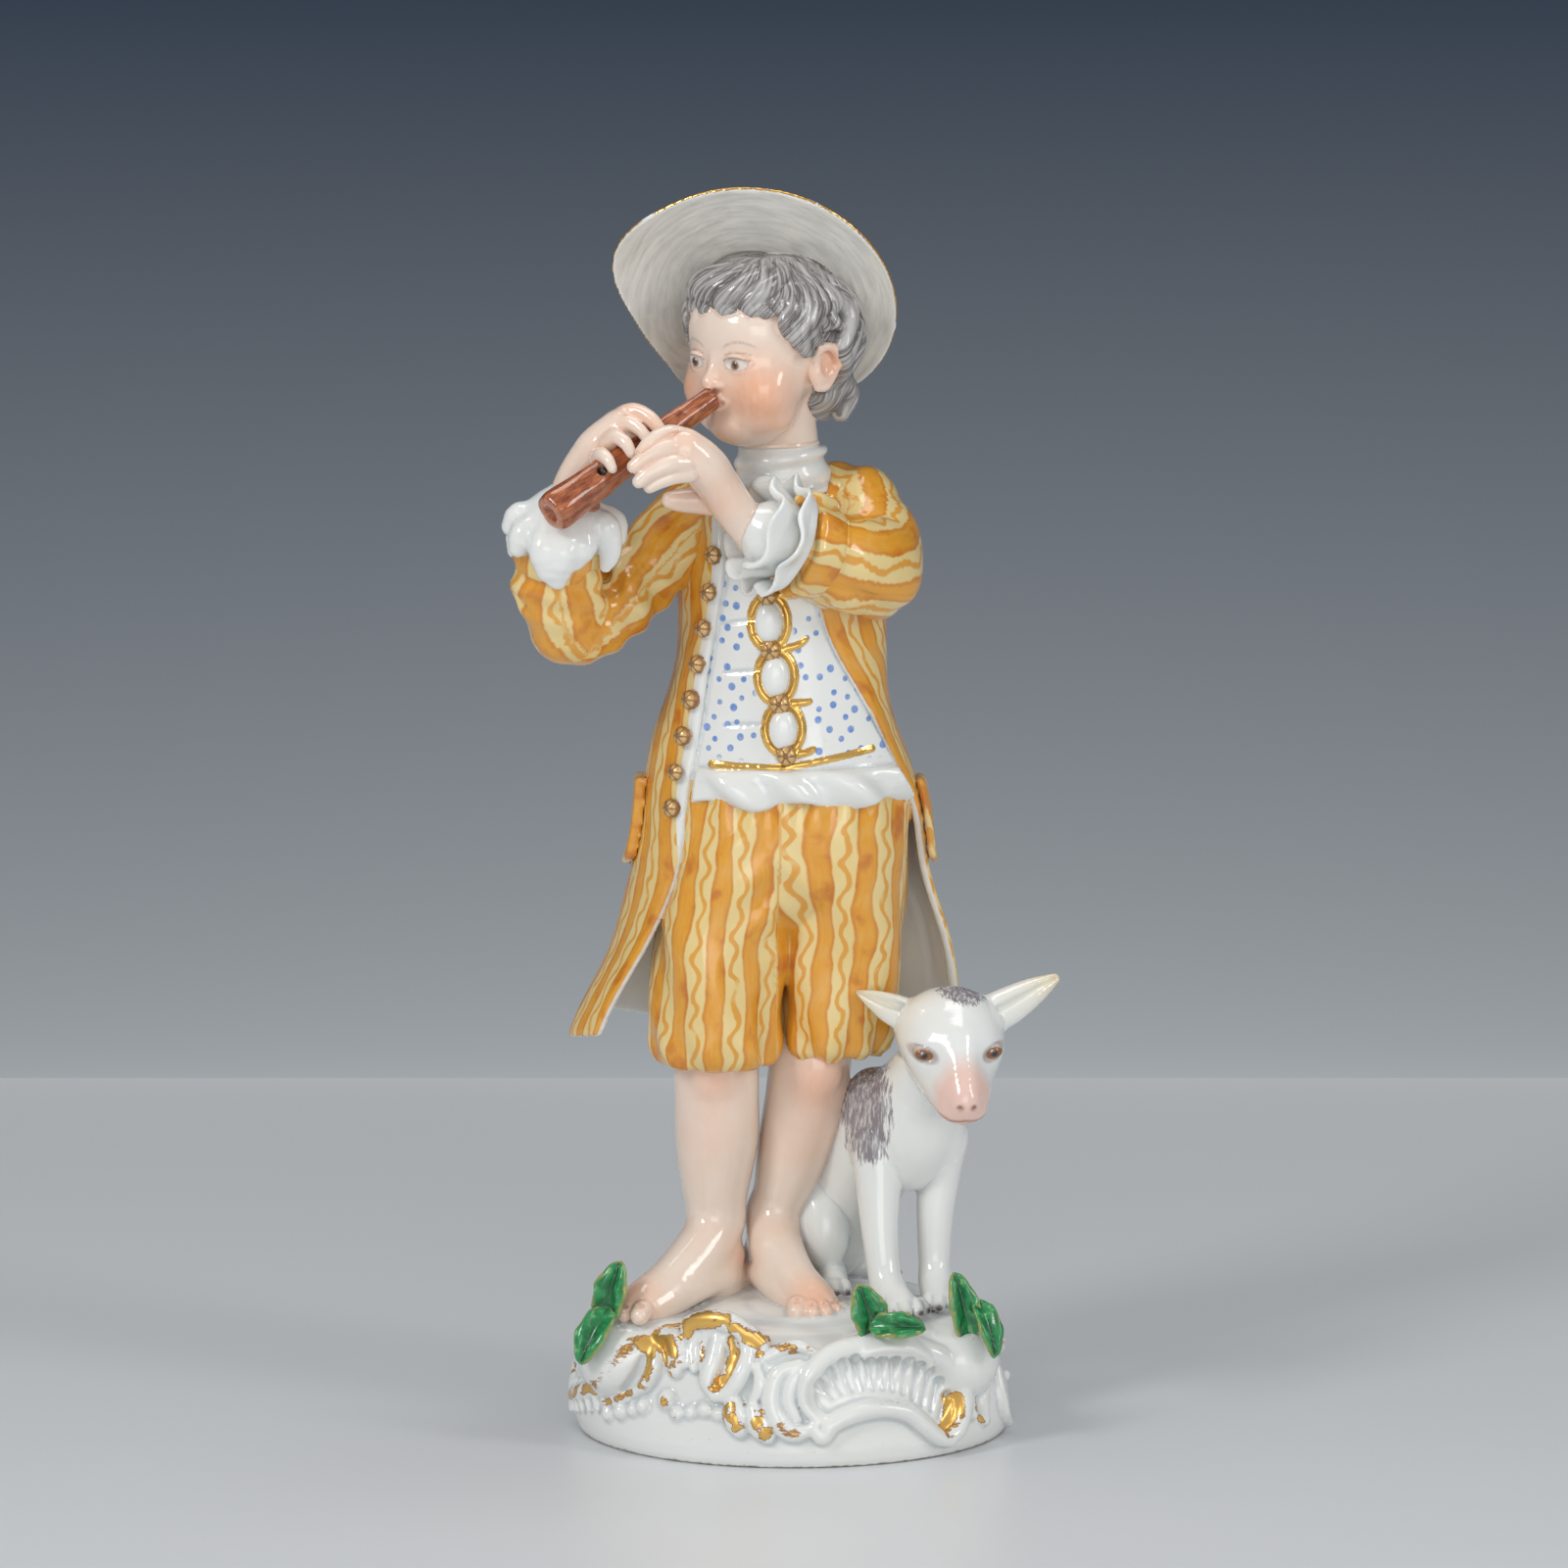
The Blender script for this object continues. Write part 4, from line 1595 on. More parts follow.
ruffle(
    "right_ruffle_lobes", "right_ruffle",
    [(-27.2, -12.9, 108.4, 4.3), (-26.9, -13.2, 109.8, 4.6), (-26.7, -13.4, 111.0, 3.9)],
    [
        [(-29.6, -13.6, 111.2, 1.2), (-31.6, -14.0, 111.6, 1.45), (-32.6, -14.0, 110.4, 1.1)],
        [(-29.4, -15.6, 111.2, 1.1), (-31.2, -16.6, 109.8, 1.4), (-31.8, -16.6, 108.2, 1.0)],
        [(-28.0, -17.0, 110.6, 1.4), (-28.8, -18.4, 108.4, 1.6), (-28.4, -18.2, 105.8, 1.2)],
        [(-26.2, -17.2, 110.4, 1.4), (-26.6, -18.6, 107.8, 1.7), (-27.2, -18.0, 104.6, 1.0)],
        [(-24.6, -16.8, 110.8, 1.3), (-24.2, -17.9, 108.6, 1.4), (-25.0, -17.8, 106.8, 0.9)],
        [(-23.2, -15.6, 111.4, 1.2), (-21.6, -16.2, 110.4, 1.4), (-21.2, -15.8, 107.6, 1.15),
         (-21.7, -15.6, 105.9, 0.7)],
        [(-22.8, -13.6, 111.8, 1.2), (-20.9, -13.6, 110.8, 1.4), (-20.4, -13.2, 109.0, 1.0)],
        [(-23.4, -11.0, 111.6, 1.2), (-21.6, -10.2, 110.2, 1.3), (-21.4, -9.8, 107.4, 0.9)],
        [(-26.0, -9.2, 111.2, 1.3), (-25.8, -8.0, 109.2, 1.4), (-25.9, -7.8, 106.2, 0.9)],
        [(-29.0, -10.0, 111.2, 1.3), (-30.2, -9.0, 109.2, 1.4), (-30.8, -8.8, 106.8, 0.9)],
        [(-30.4, -11.8, 111.2, 1.1), (-32.0, -11.4, 109.4, 1.2), (-32.4, -11.4, 107.2, 0.8)],
    ],
)


def flounce(piece, origin, ahead, length, radii, pleats, depth, phase=0.0):
    """A flared collar of pleated cloth round an arm, open at its far end."""
    origin, axes = vec(*origin), running(ahead)

    def body(block):
        u, v, w = local(block, origin, axes)
        turn, far, share = np.arctan2(v, w), np.sqrt(v * v + w * w), np.clip(u / length, 0, 1.1)
        sweep = turn * pleats + phase + 0.7 * np.sin(2 * turn) + 0.5 * share
        radius = np.interp(share, np.linspace(0, 1, len(radii)), radii) + depth * share * np.sin(sweep)
        end = length * (1 + 0.10 * np.cos(sweep + 0.8))
        return blend_max(np.abs(far - radius) * 0.72 - 0.62, np.maximum(-u, u - end), 0.9)

    middle = origin + axes[0] * length / 2
    piece.add(Shape(body, *box_round(middle, middle, max(radii) + depth + length)), 0.7)


left_frill = Piece("left_ruffle_frills", "left_ruffle", "white", 0.25, 0.5)
left_frill.add(tube([(-0.2, -13.0, 108.2, 4.3), (-1.8, -13.8, 109.0, 4.6), (-3.4, -14.4, 110.0, 3.4)]))
flounce(left_frill, (0.2, -12.9, 108.1), (-0.9, -0.38, 0.42), 3.4, (5.2, 6.0, 7.3), 7, 0.95)
flounce(left_frill, (-1.0, -13.4, 108.7), (-0.9, -0.38, 0.42), 4.9, (4.1, 4.7, 5.9), 6, 0.7, 1.1)


PIPE = [(-9.2, -9.0, 125.0), (-28.0, -22.2, 112.7)]
PIPE_AXES = running(vec(*PIPE[1]) - vec(*PIPE[0]))
PIPE_LENGTH = float(np.linalg.norm(vec(*PIPE[1]) - vec(*PIPE[0])))
PIPE_HOLES = [(11.6, 0.55), (18.2, 0.5)]


def pipe_body(block):
    u, v, w = local(block, PIPE[0], PIPE_AXES)
    share = u / PIPE_LENGTH
    radius = np.interp(share, (0, 0.08, 0.2, 0.35, 0.6, 0.85, 0.96, 1.0),
                       (1.45, 1.5, 1.75, 1.75, 2.0, 2.4, 2.5, 2.35))
    facets = 0.09 * np.cos(5 * np.arctan2(v, w) + 0.5) + 0.05 * np.sin(1.1 * u)
    radial = np.sqrt(v * v + w * w) - radius - facets
    return blend_max(radial, np.maximum(-u, u - PIPE_LENGTH), 0.8)


def pipe_point(along, around_degrees, out):
    """A point beside the pipe's middle line, out millimetres from it."""
    t, (ahead, side, lift) = math.radians(around_degrees), PIPE_AXES
    return vec(*PIPE[0]) + ahead * along + (side * math.sin(t) + lift * math.cos(t)) * out


pipe = Piece("pipe_streaked", "pipe", "pipe", 0.2, 0.3)
pipe.add(Shape(pipe_body, *box_round(*np.array(PIPE), 3.0)))
pipe.add(ball(pipe_point(20.4, 180, 2.3), (0.95, 0.95, 0.9)), 0.5)
for place, radius in PIPE_HOLES:
    pipe.cut(ball(pipe_point(place, -50, 2.1), radius), 0.1)
pipe.cut(ball(pipe_point(PIPE_LENGTH + 0.7, 0, 0), 1.3), 0.3)


def pipe_paint(p):
    u, v, w = local(p, PIPE[0], PIPE_AXES)
    return columns(np.arctan2(v, w) * 2.0, u, u - PIPE_LENGTH + 0.35)


def pipe_ink(p):
    holes = [(*pipe_point(place, -50, 1.9), radius * 1.7, 2.0) for place, radius in PIPE_HOLES]
    return clip01(near(p, holes))


pipe.paint("pipe", pipe_paint)
pipe.paint("ink", pipe_ink)


def hand(name, node, palm, fingers, creases, blush):
    """A hand from tubes; creases are cut between the fingers."""
    piece = Piece(name, node, "flesh", 0.2, 0.3)
    for points in palm:
        piece.add(tube(points), 1.4)
    for points in fingers:
        piece.add(tube(points), 0.35)
    for points in creases:
        piece.cut(tube(points), 0.35)
    piece.paint("blush", lambda p: near(p, blush))
    piece.paint("ink", no_ink)


hand(
    "right_hand_fingers", "right_hand",
    [
        [(-26.8, -13.2, 109.6, 2.5), (-26.4, -13.4, 113.0, 2.35), (-25.0, -13.6, 116.4, 2.4),
         (-22.6, -14.0, 119.4, 2.7), (-20.4, -14.2, 121.4, 2.5)],
        [(-22.6, -14.0, 119.4, 2.3), (-19.6, -14.8, 122.2, 2.2)],
    ],
    [
        [(-20.6, -13.6, 122.6, 1.5), (-18.6, -14.4, 123.7, 1.35), (-16.6, -15.6, 123.1, 1.15),
         (-15.2, -16.6, 121.7, 0.95)],
        [(-20.4, -15.4, 122.0, 1.35), (-18.9, -16.3, 122.7, 1.25), (-17.4, -17.4, 121.9, 1.05),
         (-16.5, -18.2, 120.5, 0.9)],
        [(-21.4, -16.4, 120.4, 1.3), (-20.4, -17.5, 121.2, 1.2), (-19.3, -18.7, 120.6, 1.0),
         (-18.6, -19.3, 119.5, 0.85)],
        [(-22.6, -16.8, 118.6, 1.2), (-22.1, -18.2, 119.2, 1.1), (-21.3, -19.4, 118.7, 0.95),
         (-20.8, -20.0, 117.8, 0.8)],
        [(-23.2, -12.8, 117.6, 1.5), (-20.8, -12.0, 117.4, 1.35), (-18.4, -12.6, 117.2, 1.15),
         (-17.0, -13.6, 117.4, 0.95)],
    ],
    [
        [(-19.6, -15.6, 124.4, 0.2), (-17.8, -16.6, 123.4, 0.35), (-16.4, -17.6, 122.2, 0.3)],
        [(-20.6, -17.2, 123.0, 0.2), (-19.2, -18.2, 122.0, 0.3)],
    ],
    [(-18.4, -15, 124.2, 3.5, 0.5), (-25.6, -16, 114.5, 5, 0.25), (-15.6, -17, 122, 2.5, 0.4),
     (-21.5, -16.5, 120, 4, 0.3)],
)
hand(
    "left_hand_fingers", "left_hand",
    [
        [(-3.6, -13.4, 108.6, 2.6), (-6.4, -14.8, 112.0, 2.5), (-8.6, -16.4, 115.4, 2.55),
         (-10.6, -17.8, 118.2, 2.6), (-12.2, -18.6, 119.8, 2.3)],
        [(-9.8, -17.2, 117.4, 2.3), (-12.8, -18.6, 120.2, 2.1)],
    ],
    [
        [(-12.2, -17.8, 120.9, 1.3), (-14.2, -18.8, 121.6, 1.2), (-16.2, -19.6, 120.9, 1.05),
         (-17.4, -20.2, 119.7, 0.85)],
        [(-12.6, -19.4, 119.8, 1.3), (-14.6, -20.4, 120.2, 1.2), (-16.8, -21.2, 119.3, 1.05),
         (-18.3, -21.6, 118.2, 0.85)],
        [(-12.4, -20.0, 118.4, 1.2), (-14.2, -21.0, 118.4, 1.15), (-16.4, -21.6, 117.5, 1.0),
         (-17.7, -21.8, 116.5, 0.85)],
        [(-12.0, -19.8, 117.2, 1.1), (-13.6, -20.6, 117.0, 1.0), (-15.2, -21.0, 116.5, 0.95),
         (-16.5, -21.2, 115.8, 0.8)],
        [(-8.4, -14.6, 113.2, 1.7), (-10.8, -14.4, 113.4, 1.6), (-13.0, -14.8, 113.5, 1.4),
         (-14.2, -15.2, 113.6, 1.1)],
    ],
    [
        [(-13.2, -19.4, 121.9, 0.2), (-15.2, -20.6, 121.3, 0.3), (-17.2, -21.4, 119.9, 0.3)],
        [(-12.0, -19.8, 120.6, 0.15), (-10.4, -19.4, 118.4, 0.25), (-8.8, -18.6, 116.4, 0.15)],
    ],
    [(-8.4, -18, 115.5, 4.5, 0.35), (-12.5, -20, 121, 3.5, 0.45), (-17.6, -21, 119, 2.4, 0.5),
     (-9.5, -16.5, 112.5, 4, 0.35), (-13.5, -16, 113.5, 2.4, 0.3)],
)


# ---------------------------------------------------------------- head


HEAD = vec(-3.4, -1.7, 129.4)
HEAD_SCALE = 1.05
HEAD_AXES = LEFT, FACE, UP = facing((-0.66, -0.75, -0.03))


def on_head(side, forward, up):
    return HEAD + (LEFT * side + FACE * forward + UP * up) * HEAD_SCALE


def head_ball(side, forward, up, radii):
    return ball(on_head(side, forward, up), np.multiply(radii, HEAD_SCALE), HEAD_AXES)


def head_tube(points):
    return tube([(*on_head(*p[:3]), p[3] * HEAD_SCALE) for p in points])


def head_coords(p):
    return [c / HEAD_SCALE for c in local(p, HEAD, HEAD_AXES)]


EYE_SIDE, EYE_FORWARD, EYE_UP = 2.95, 6.75, -0.2
MOUTH_UP = -4.65

head = Piece("head_and_face", "head", "flesh", 0.18, 0.3)
# Skull, face, forehead, cheeks, jaw, chin and throat: place (side, forward, up), radii and blend.
for side, forward, up, radii, k in [
    (0, -0.9, 1.7, (8.2, 8.9, 7.9), 0), (0, 2.8, -2.0, (6.9, 5.9, 6.4), 2.0),
    (0, 3.5, 3.0, (6.5, 5.2, 5.0), 1.6), (3.7, 4.4, -3.6, (3.3, 3.4, 3.3), 1.6),
    (2.8, 3.2, -6.1, (3.3, 3.8, 2.9), 1.6), (-3.7, 4.4, -3.6, (3.3, 3.4, 3.3), 1.6),
    (-2.8, 3.2, -6.1, (3.3, 3.8, 2.9), 1.6), (0, 6.3, -7.2, (2.3, 2.0, 1.8), 1.6),
    (0, 3.0, -8.0, (3.8, 4.0, 2.2), 1.6),
]:
    head.add(head_ball(side, forward, up, radii), k)
for sign in (1, -1):
    # The socket, the eyeball, and the upper and lower lids.
    head.cut(head_ball(EYE_SIDE * sign, 9.4, EYE_UP, (1.8, 1.2, 0.95)), 1.0)
    head.add(head_ball(EYE_SIDE * sign, EYE_FORWARD, EYE_UP, (1.55, 1.45, 1.3)), 0.25)
    head.add(head_tube([(1.4 * sign, 8.1, EYE_UP - 0.1, 0.18), (2.4 * sign, 8.4, EYE_UP + 0.75, 0.28),
                        (3.4 * sign, 8.1, EYE_UP + 0.75, 0.3), (4.5 * sign, 7.2, EYE_UP, 0.18)]), 0.4)
    head.add(head_tube([(1.6 * sign, 8.0, EYE_UP - 0.45, 0.16), (2.6 * sign, 8.15, EYE_UP - 0.95, 0.2),
                        (3.6 * sign, 7.85, EYE_UP - 0.9, 0.2), (4.4 * sign, 7.2, EYE_UP - 0.3, 0.16)]), 0.45)
# The nose, its tip, its wings and its nostrils.
head.add(head_tube([(0, 8.1, 0.4, 0.45), (0, 8.6, -1.0, 0.55), (0, 9.2, -2.2, 0.8)]), 1.0)
head.add(head_ball(0, 9.2, -2.45, (0.95, 0.9, 0.8)), 0.5)
for sign in (1, -1):
    head.add(head_ball(0.85 * sign, 8.6, -2.7, (0.58, 0.65, 0.52)), 0.45)
    head.cut(head_ball(0.45 * sign, 9.1, -3.2, (0.22, 0.3, 0.18)), 0.2)
# The upper and lower lip, the line between them, and the hollow above the chin.
head.add(head_tube([(-1.5, 7.9, MOUTH_UP + 0.1, 0.35), (-0.6, 8.55, MOUTH_UP + 0.45, 0.5),
                    (0, 8.65, MOUTH_UP + 0.35, 0.48), (0.6, 8.55, MOUTH_UP + 0.45, 0.5),
                    (1.5, 7.9, MOUTH_UP + 0.1, 0.35)]), 0.5)
head.add(head_tube([(-1.2, 8.0, MOUTH_UP - 0.35, 0.4), (0, 8.5, MOUTH_UP - 0.6, 0.55),
                    (1.2, 8.0, MOUTH_UP - 0.35, 0.4)]), 0.5)
head.cut(head_tube([(-1.6, 8.5, MOUTH_UP, 0.1), (0, 9.2, MOUTH_UP - 0.05, 0.16), (1.6, 8.5, MOUTH_UP, 0.1)]),
         0.25)
head.cut(head_ball(0, 8.7, MOUTH_UP - 1.45, (1.3, 0.5, 0.3)), 0.6)
for sign in (1, -1):
    # The ear: a curled rim, a hollow, and the flap in front of it.
    head.add(head_ball(7.9 * sign, -0.6, -1.4, (1.1, 1.7, 2.4)), 0.6)
    head.add(head_tube([(8.0 * sign, 0.7, -0.2, 0.4), (8.7 * sign, 0.3, 1.0, 0.5),
                        (9.1 * sign, -1.0, 1.1, 0.5), (9.0 * sign, -2.2, -0.2, 0.5),
                        (8.6 * sign, -2.0, -1.8, 0.5), (8.2 * sign, -0.9, -3.2, 0.65),
                        (7.9 * sign, -0.1, -3.4, 0.5)]), 0.35)
    head.cut(head_ball(9.1 * sign, -0.5, -0.9, (0.75, 0.95, 1.35)), 0.4)
    head.add(head_ball(8.3 * sign, 0.55, -1.5, (0.45, 0.4, 0.55)), 0.3)
# The neck under the jaw.
head.add(tube([(-1.4, 0.6, 117.4, 4.5), (-1.8, 0.2, 120.4, 4.6), (-2.6, -0.4, 123.6, 5.0)]), 1.6)
head.keep(slab(117.0, 145.0), 0.2)


class Brush:
    """Lays colours over one another on loose points, and remembers how much of each point is covered."""

    def __init__(self, p, where):
        self.ink, self.colour, self.where = np.zeros(len(p.x)), np.zeros((len(p.x), 3)), where

    def lay(self, mask, tint):
        mask = clip01(mask) * self.where
        self.colour = self.colour * (1 - mask[:, None]) + np.array(tint) * mask[:, None]
        self.ink = np.maximum(self.ink, mask)

    def line(self, offset, half, strength, tint):
        """A soft line where the offset is near 0."""
        self.lay(clip01(1 - np.abs(offset) / half) * strength, tint)


def head_blush(p):
    """Blush on the cheeks, ears, chin, nose tip and jaw."""
    cheeks = [(*on_head(4.7 * s, 6.2, -3.6), 6.0, 1.0) for s in (1, -1)]
    ears = [(*on_head(8.8 * s, -1.4, -0.8), 3.6, 0.8) for s in (1, -1)]
    return near(p, cheeks + ears + [(*on_head(0, 8, -9.0), 3.4, 0.5), (*on_head(0, 9.8, -2.6), 2.0, 0.35),
                                    (*on_head(5.5, 2.5, -7.5), 4.5, 0.3)])


def face_ink(p):
    """The painted eyes, brows and lips."""
    side, forward, up = head_coords(p)
    brush = Brush(p, forward > 3.5)
    lay, line = brush.lay, brush.line

    for sign in (1, -1):
        x, y = side - EYE_SIDE * sign, up - EYE_UP
        out = x * sign
        white = 1 - clip01(((x / 1.35) ** 2 + ((y + 0.12) / 0.72) ** 2 - 0.85) * 3)
        lay(white * 0.85, (0.90, 0.89, 0.86))
        looking = vec(-0.1, -0.2)
        iris = np.hypot(x - looking[0], y - looking[1])
        lay(clip01((0.66 - iris) * 5) * white, (0.20, 0.09, 0.035))
        lay(clip01((0.32 - iris) * 8) * white, (0.015, 0.008, 0.006))
        lay(clip01((0.14 - np.hypot(x - 0.1, y - 0.12)) * 12) * white, (0.95, 0.95, 0.95))
        lid = 0.62 - 0.36 * (out / 1.5) ** 2
        line(y - lid, 0.15, (np.abs(out) < 1.5) * 0.85, (0.22, 0.09, 0.05))
        crease = 1.15 - 0.3 * ((out - 0.1) / 1.6) ** 2
        line(y - crease, 0.12, (np.abs(out) < 1.5) * 0.45, (0.45, 0.20, 0.12))
        lower = -0.78 + 0.3 * (out / 1.5) ** 2
        line(y - lower, 0.10, (np.abs(out) < 1.3) * 0.4, (0.50, 0.22, 0.15))
        brow = 2.35 - 0.2 * (out - 0.3) ** 2
        hairs = 0.6 + 0.4 * np.sin(22 * out + 6 * y)
        lay(clip01(1 - np.abs(y - brow) / 0.26) * clip01((2.0 - np.abs(out - 0.2)) * 2) * hairs * 0.5,
            (0.30, 0.19, 0.14))
    lips = np.clip(1 - ((side / 1.6) ** 2 + ((up - MOUTH_UP) / 0.85) ** 2), 0, 0.4) * 1.9
    lay(lips * (forward > 7), (0.78, 0.27, 0.18))
    line(up - MOUTH_UP, 0.12, (np.abs(side) < 1.5) * (forward > 7) * 0.6, (0.50, 0.12, 0.08))
    return brush


head.paint("blush", head_blush)
head.paint("ink", lambda p: face_ink(p).ink)
head.paint("ink_colour", lambda p: face_ink(p).colour)

neck = Piece("stock_folds", "neck_stock", "white", 0.25, 0.6)
neck.add(loft(smooth_rows([(112.6, -0.9, 1.2, 6.2, 5.7), (115.0, -1.1, 1.0, 5.7, 5.5),
                           (117.0, -1.5, 0.7, 5.2, 5.1), (118.6, -1.9, 0.4, 4.9, 4.8)])))
for z, tilt in ((116.9, 0.14), (114.6, 0.10)):
    ring = [(-1.4 + 5.05 * math.sin(t), 0.8 - 4.95 * math.cos(t), z + tilt * 6 * math.sin(t), 0.7)
            for t in circle(17)]
    neck.add(tube(ring, per=2), 1.6)
neck.add(ball((-3.4, -5.0, 114.0), (1.8, 1.1, 1.5)), 0.8)
neck.add(ball((-1.0, -5.2, 113.2), (1.6, 1.0, 1.8)), 0.8)


# ---------------------------------------------------------------- hair


def around_head(azimuth, height, out):
    """A point over the skull: azimuth from the face towards the left ear, and height, in degrees."""
    a, h = math.radians(azimuth), math.radians(height)
    rs, rf, ru = 8.7 + out, 9.3 + out, 8.2 + out
    return on_head(rs * math.cos(h) * math.sin(a), -0.9 + rf * math.cos(h) * math.cos(a),
                   1.7 + ru * math.sin(h))


hair = Piece("hair_locks", "hair", "hair", 0.2, 0.3)
hair.add(head_ball(0, -1.3, 1.8, (8.7, 8.9, 8.2)))
hair.cut(head_ball(0, 8.6, -2.6, (7.6, 6.4, 7.9)), 0.6)
hair.cut(head_ball(0, 4.4, -8.6, (10.5, 8.6, 8.0)), 0.6)
for sign in (1, -1):
    hair.cut(head_ball(9.4 * sign, 1.6, -3.0, (2.8, 4.2, 5.4)), 0.4)
hair.cut(head_ball(0, 0, -9.5, (7, 7.5, 5.0)), 0.8)


def lock(points, radius, sign=1):
    """A lock of hair with a smaller one riding on it, along (azimuth, height, out) points on one side."""
    last = len(points) - 1
    main, beside = [], []
    for i, (a, h, out) in enumerate(points):
        swell = radius * (0.55 + 0.45 * math.sin(math.pi * (0.2 + 0.62 * i / last)))
        main.append((*around_head(sign * a, h, out), swell))
        beside.append((*around_head(sign * a + 5.0, h - 2.0, out + 0.1), swell * 0.5))
    hair.add(tube(main), 0.3)
    hair.add(tube(beside), 0.22)


# The fringe sweeps towards the right temple and curls at its tips.
FRINGE = [(-58, 0), (-44, 1), (-30, 0), (-16, 1), (-2, 0), (12, 1), (26, 0), (40, 1), (54, 0)]
for azimuth, odd in FRINGE:
    rise = 6 * math.cos(math.radians(azimuth * 1.4))
    lock([(azimuth + 26, 68, 0.1), (azimuth + 16, 54 + 3 * odd, 0.4),
          (azimuth + 5, 41 + rise * 0.6, 0.6 + 0.3 * odd), (azimuth - 4, 30 + rise, 0.5),
          (azimuth + 1, 25 + rise - 3 * odd, 0.35)], 1.15)
for azimuth in range(-50, 60, 22):
    lock([(azimuth + 30, 62, 0.6), (azimuth + 16, 50, 1.2), (azimuth + 2, 40, 1.3), (azimuth - 10, 33, 0.9),
          (azimuth - 7, 27, 0.4)], 1.3)
# Side locks fall in front of and behind each ear.
for sign in (1, -1):
    for azimuth, low, out in ((58, 8, 0.1), (64, 0, 0.2), (70, -6, 0.2), (77, 2, 0.3), (85, 12, 0.6),
                              (95, 12, 0.8)):
        lock([(azimuth - 10, 56, 0.4), (azimuth - 2, 42, 0.8), (azimuth + 3, 28, 0.7),
              (azimuth - 3, (28 + low) / 2, 0.5), (azimuth, low, out)], 1.05, sign)
    for azimuth in range(106, 181, 13):
        wave = 7 if azimuth % 2 else -7
        lock([(azimuth - 8, 52, 0.3), (azimuth + wave * 0.6, 34, 0.7), (azimuth - wave, 16, 0.9),
              (azimuth + wave, -4, 0.9), (azimuth - wave * 0.6, -24, 0.6), (azimuth, -40, -0.4)], 1.25, sign)
    for azimuth in range(112, 181, 17):
        lock([(azimuth, 22, 1.2), (azimuth + 6, 6, 1.3), (azimuth - 5, -12, 1.1), (azimuth + 3, -28, 0.7),
              (azimuth - 4, -36, 0.2)], 0.85, sign)
for azimuth, odd in ((118, 0), (134, 1), (150, 0), (166, 1), (182, 0), (198, 1), (214, 0), (230, 1),
                     (242, 0)):
    lock([(azimuth, -22, 0.4), (azimuth + 5, -36, 0.5), (azimuth - 3, -47, 0.1 + 0.3 * odd),
          (azimuth, -55, -0.9)], 1.2)
for azimuth in range(0, 360, 24):
    lock([(azimuth, 88, 0), (azimuth + 14, 72, 0.3), (azimuth + 20, 56, 0.5), (azimuth + 16, 44, 0.3)], 1.1)


def hair_flow(p):
    """Millimetres across and along the locks, which swirl a little round the head."""
    side, forward, up = (c / HEAD_SCALE for c in local(p, on_head(0, -0.9, 1.7), HEAD_AXES))
    azimuth = np.arctan2(side, forward)
    height = np.arctan2(up, np.hypot(side, forward))
    swirl = azimuth - 0.42 * height + 0.10 * np.sin(5 * height + 2 * azimuth)
    return columns(swirl * 9.0, height * 9.0, 0 * up)


hair.paint("flow", hair_flow)


# ---------------------------------------------------------------- hat


HAT = vec(-4.2, 4.2, 135.6)
HAT_ACROSS, HAT_OUT, HAT_UP = facing((0.12, 0.84, 0.53))
HAT_AXES = (HAT_ACROSS, HAT_UP, HAT_OUT)
CROWN = HAT - HAT_UP * 2.6  # the crown sits a little below the brim's middle
# Turns from the boy's right by way of the top, how far the rim stands from the hat's middle, and its curl.
RIM = smooth_rows([
    (-60, 15.2, 3.0), (-30, 12.9, 5.2), (0, 14.0, 5.8), (30, 18.4, 4.2), (60, 17.3, 2.2), (90, 16.9, 1.5),
    (120, 17.1, 1.5), (150, 17.1, 1.6), (180, 17.0, 1.8), (210, 16.8, 1.8), (240, 16.2, 1.6),
    (270, 15.8, 1.8), (300, 15.2, 3.0), (330, 12.9, 5.2), (360, 14.0, 5.8), (390, 18.6, 4.2),
], 5)


def hat_coords(b):
    """Distance from the hat's middle, turn, the rim's distance, and height above the curled sheet."""
    a, u, c = local(b, HAT, HAT_AXES)
    radius = np.sqrt(a * a + u * u)
    turn = np.degrees(np.arctan2(u, a)) % 360
    rim = np.interp(turn, RIM[:, 0], RIM[:, 1])
    share = np.clip((radius - 6.0) / (rim - 6.0), 0, 1.2)
    curl = np.interp(turn, RIM[:, 0], RIM[:, 2]) * share**1.9
    hollow = 0.12 * np.sin(np.radians(turn * 3 + 40)) * share
    return radius, turn, rim, c + curl + hollow


def brim_body(block):
    radius, _, rim, level = hat_coords(block)
    sheet = np.abs(level) * 0.9 - np.interp(radius, (8, 15), (0.62, 0.5))
    return blend_max(sheet, np.maximum(radius - rim, 6.4 - radius), 0.75)


def crown_body(block):
    a, u, c = local(block, CROWN, HAT_AXES)
    radius = np.interp(c, (-1.6, 0.4, 1.6, 3.0, 5.4, 7.2, 8.4, 9.0),
                       (7.2, 7.6, 8.6, 8.9, 8.7, 7.8, 5.6, 1.5))
    dent = 0.35 * np.exp(-((u - 1.0) / 2.2) ** 2) * clip01((c - 4) / 4)
    radial = (np.sqrt(a * a + u * u) - radius) * 0.75
    return blend_max(radial, np.maximum(-1.6 - c, c - 8.7 + dent), 1.2)


def hat_paint(p):
    radius, turn, rim, _ = hat_coords(p)
    return columns(np.radians(turn) * 12, radius, rim - radius)


def crown_paint(p):
    a, u, c = local(p, CROWN, HAT_AXES)
    return columns(np.arctan2(u, a) * 8, 16 + c, 5 + 0 * c)


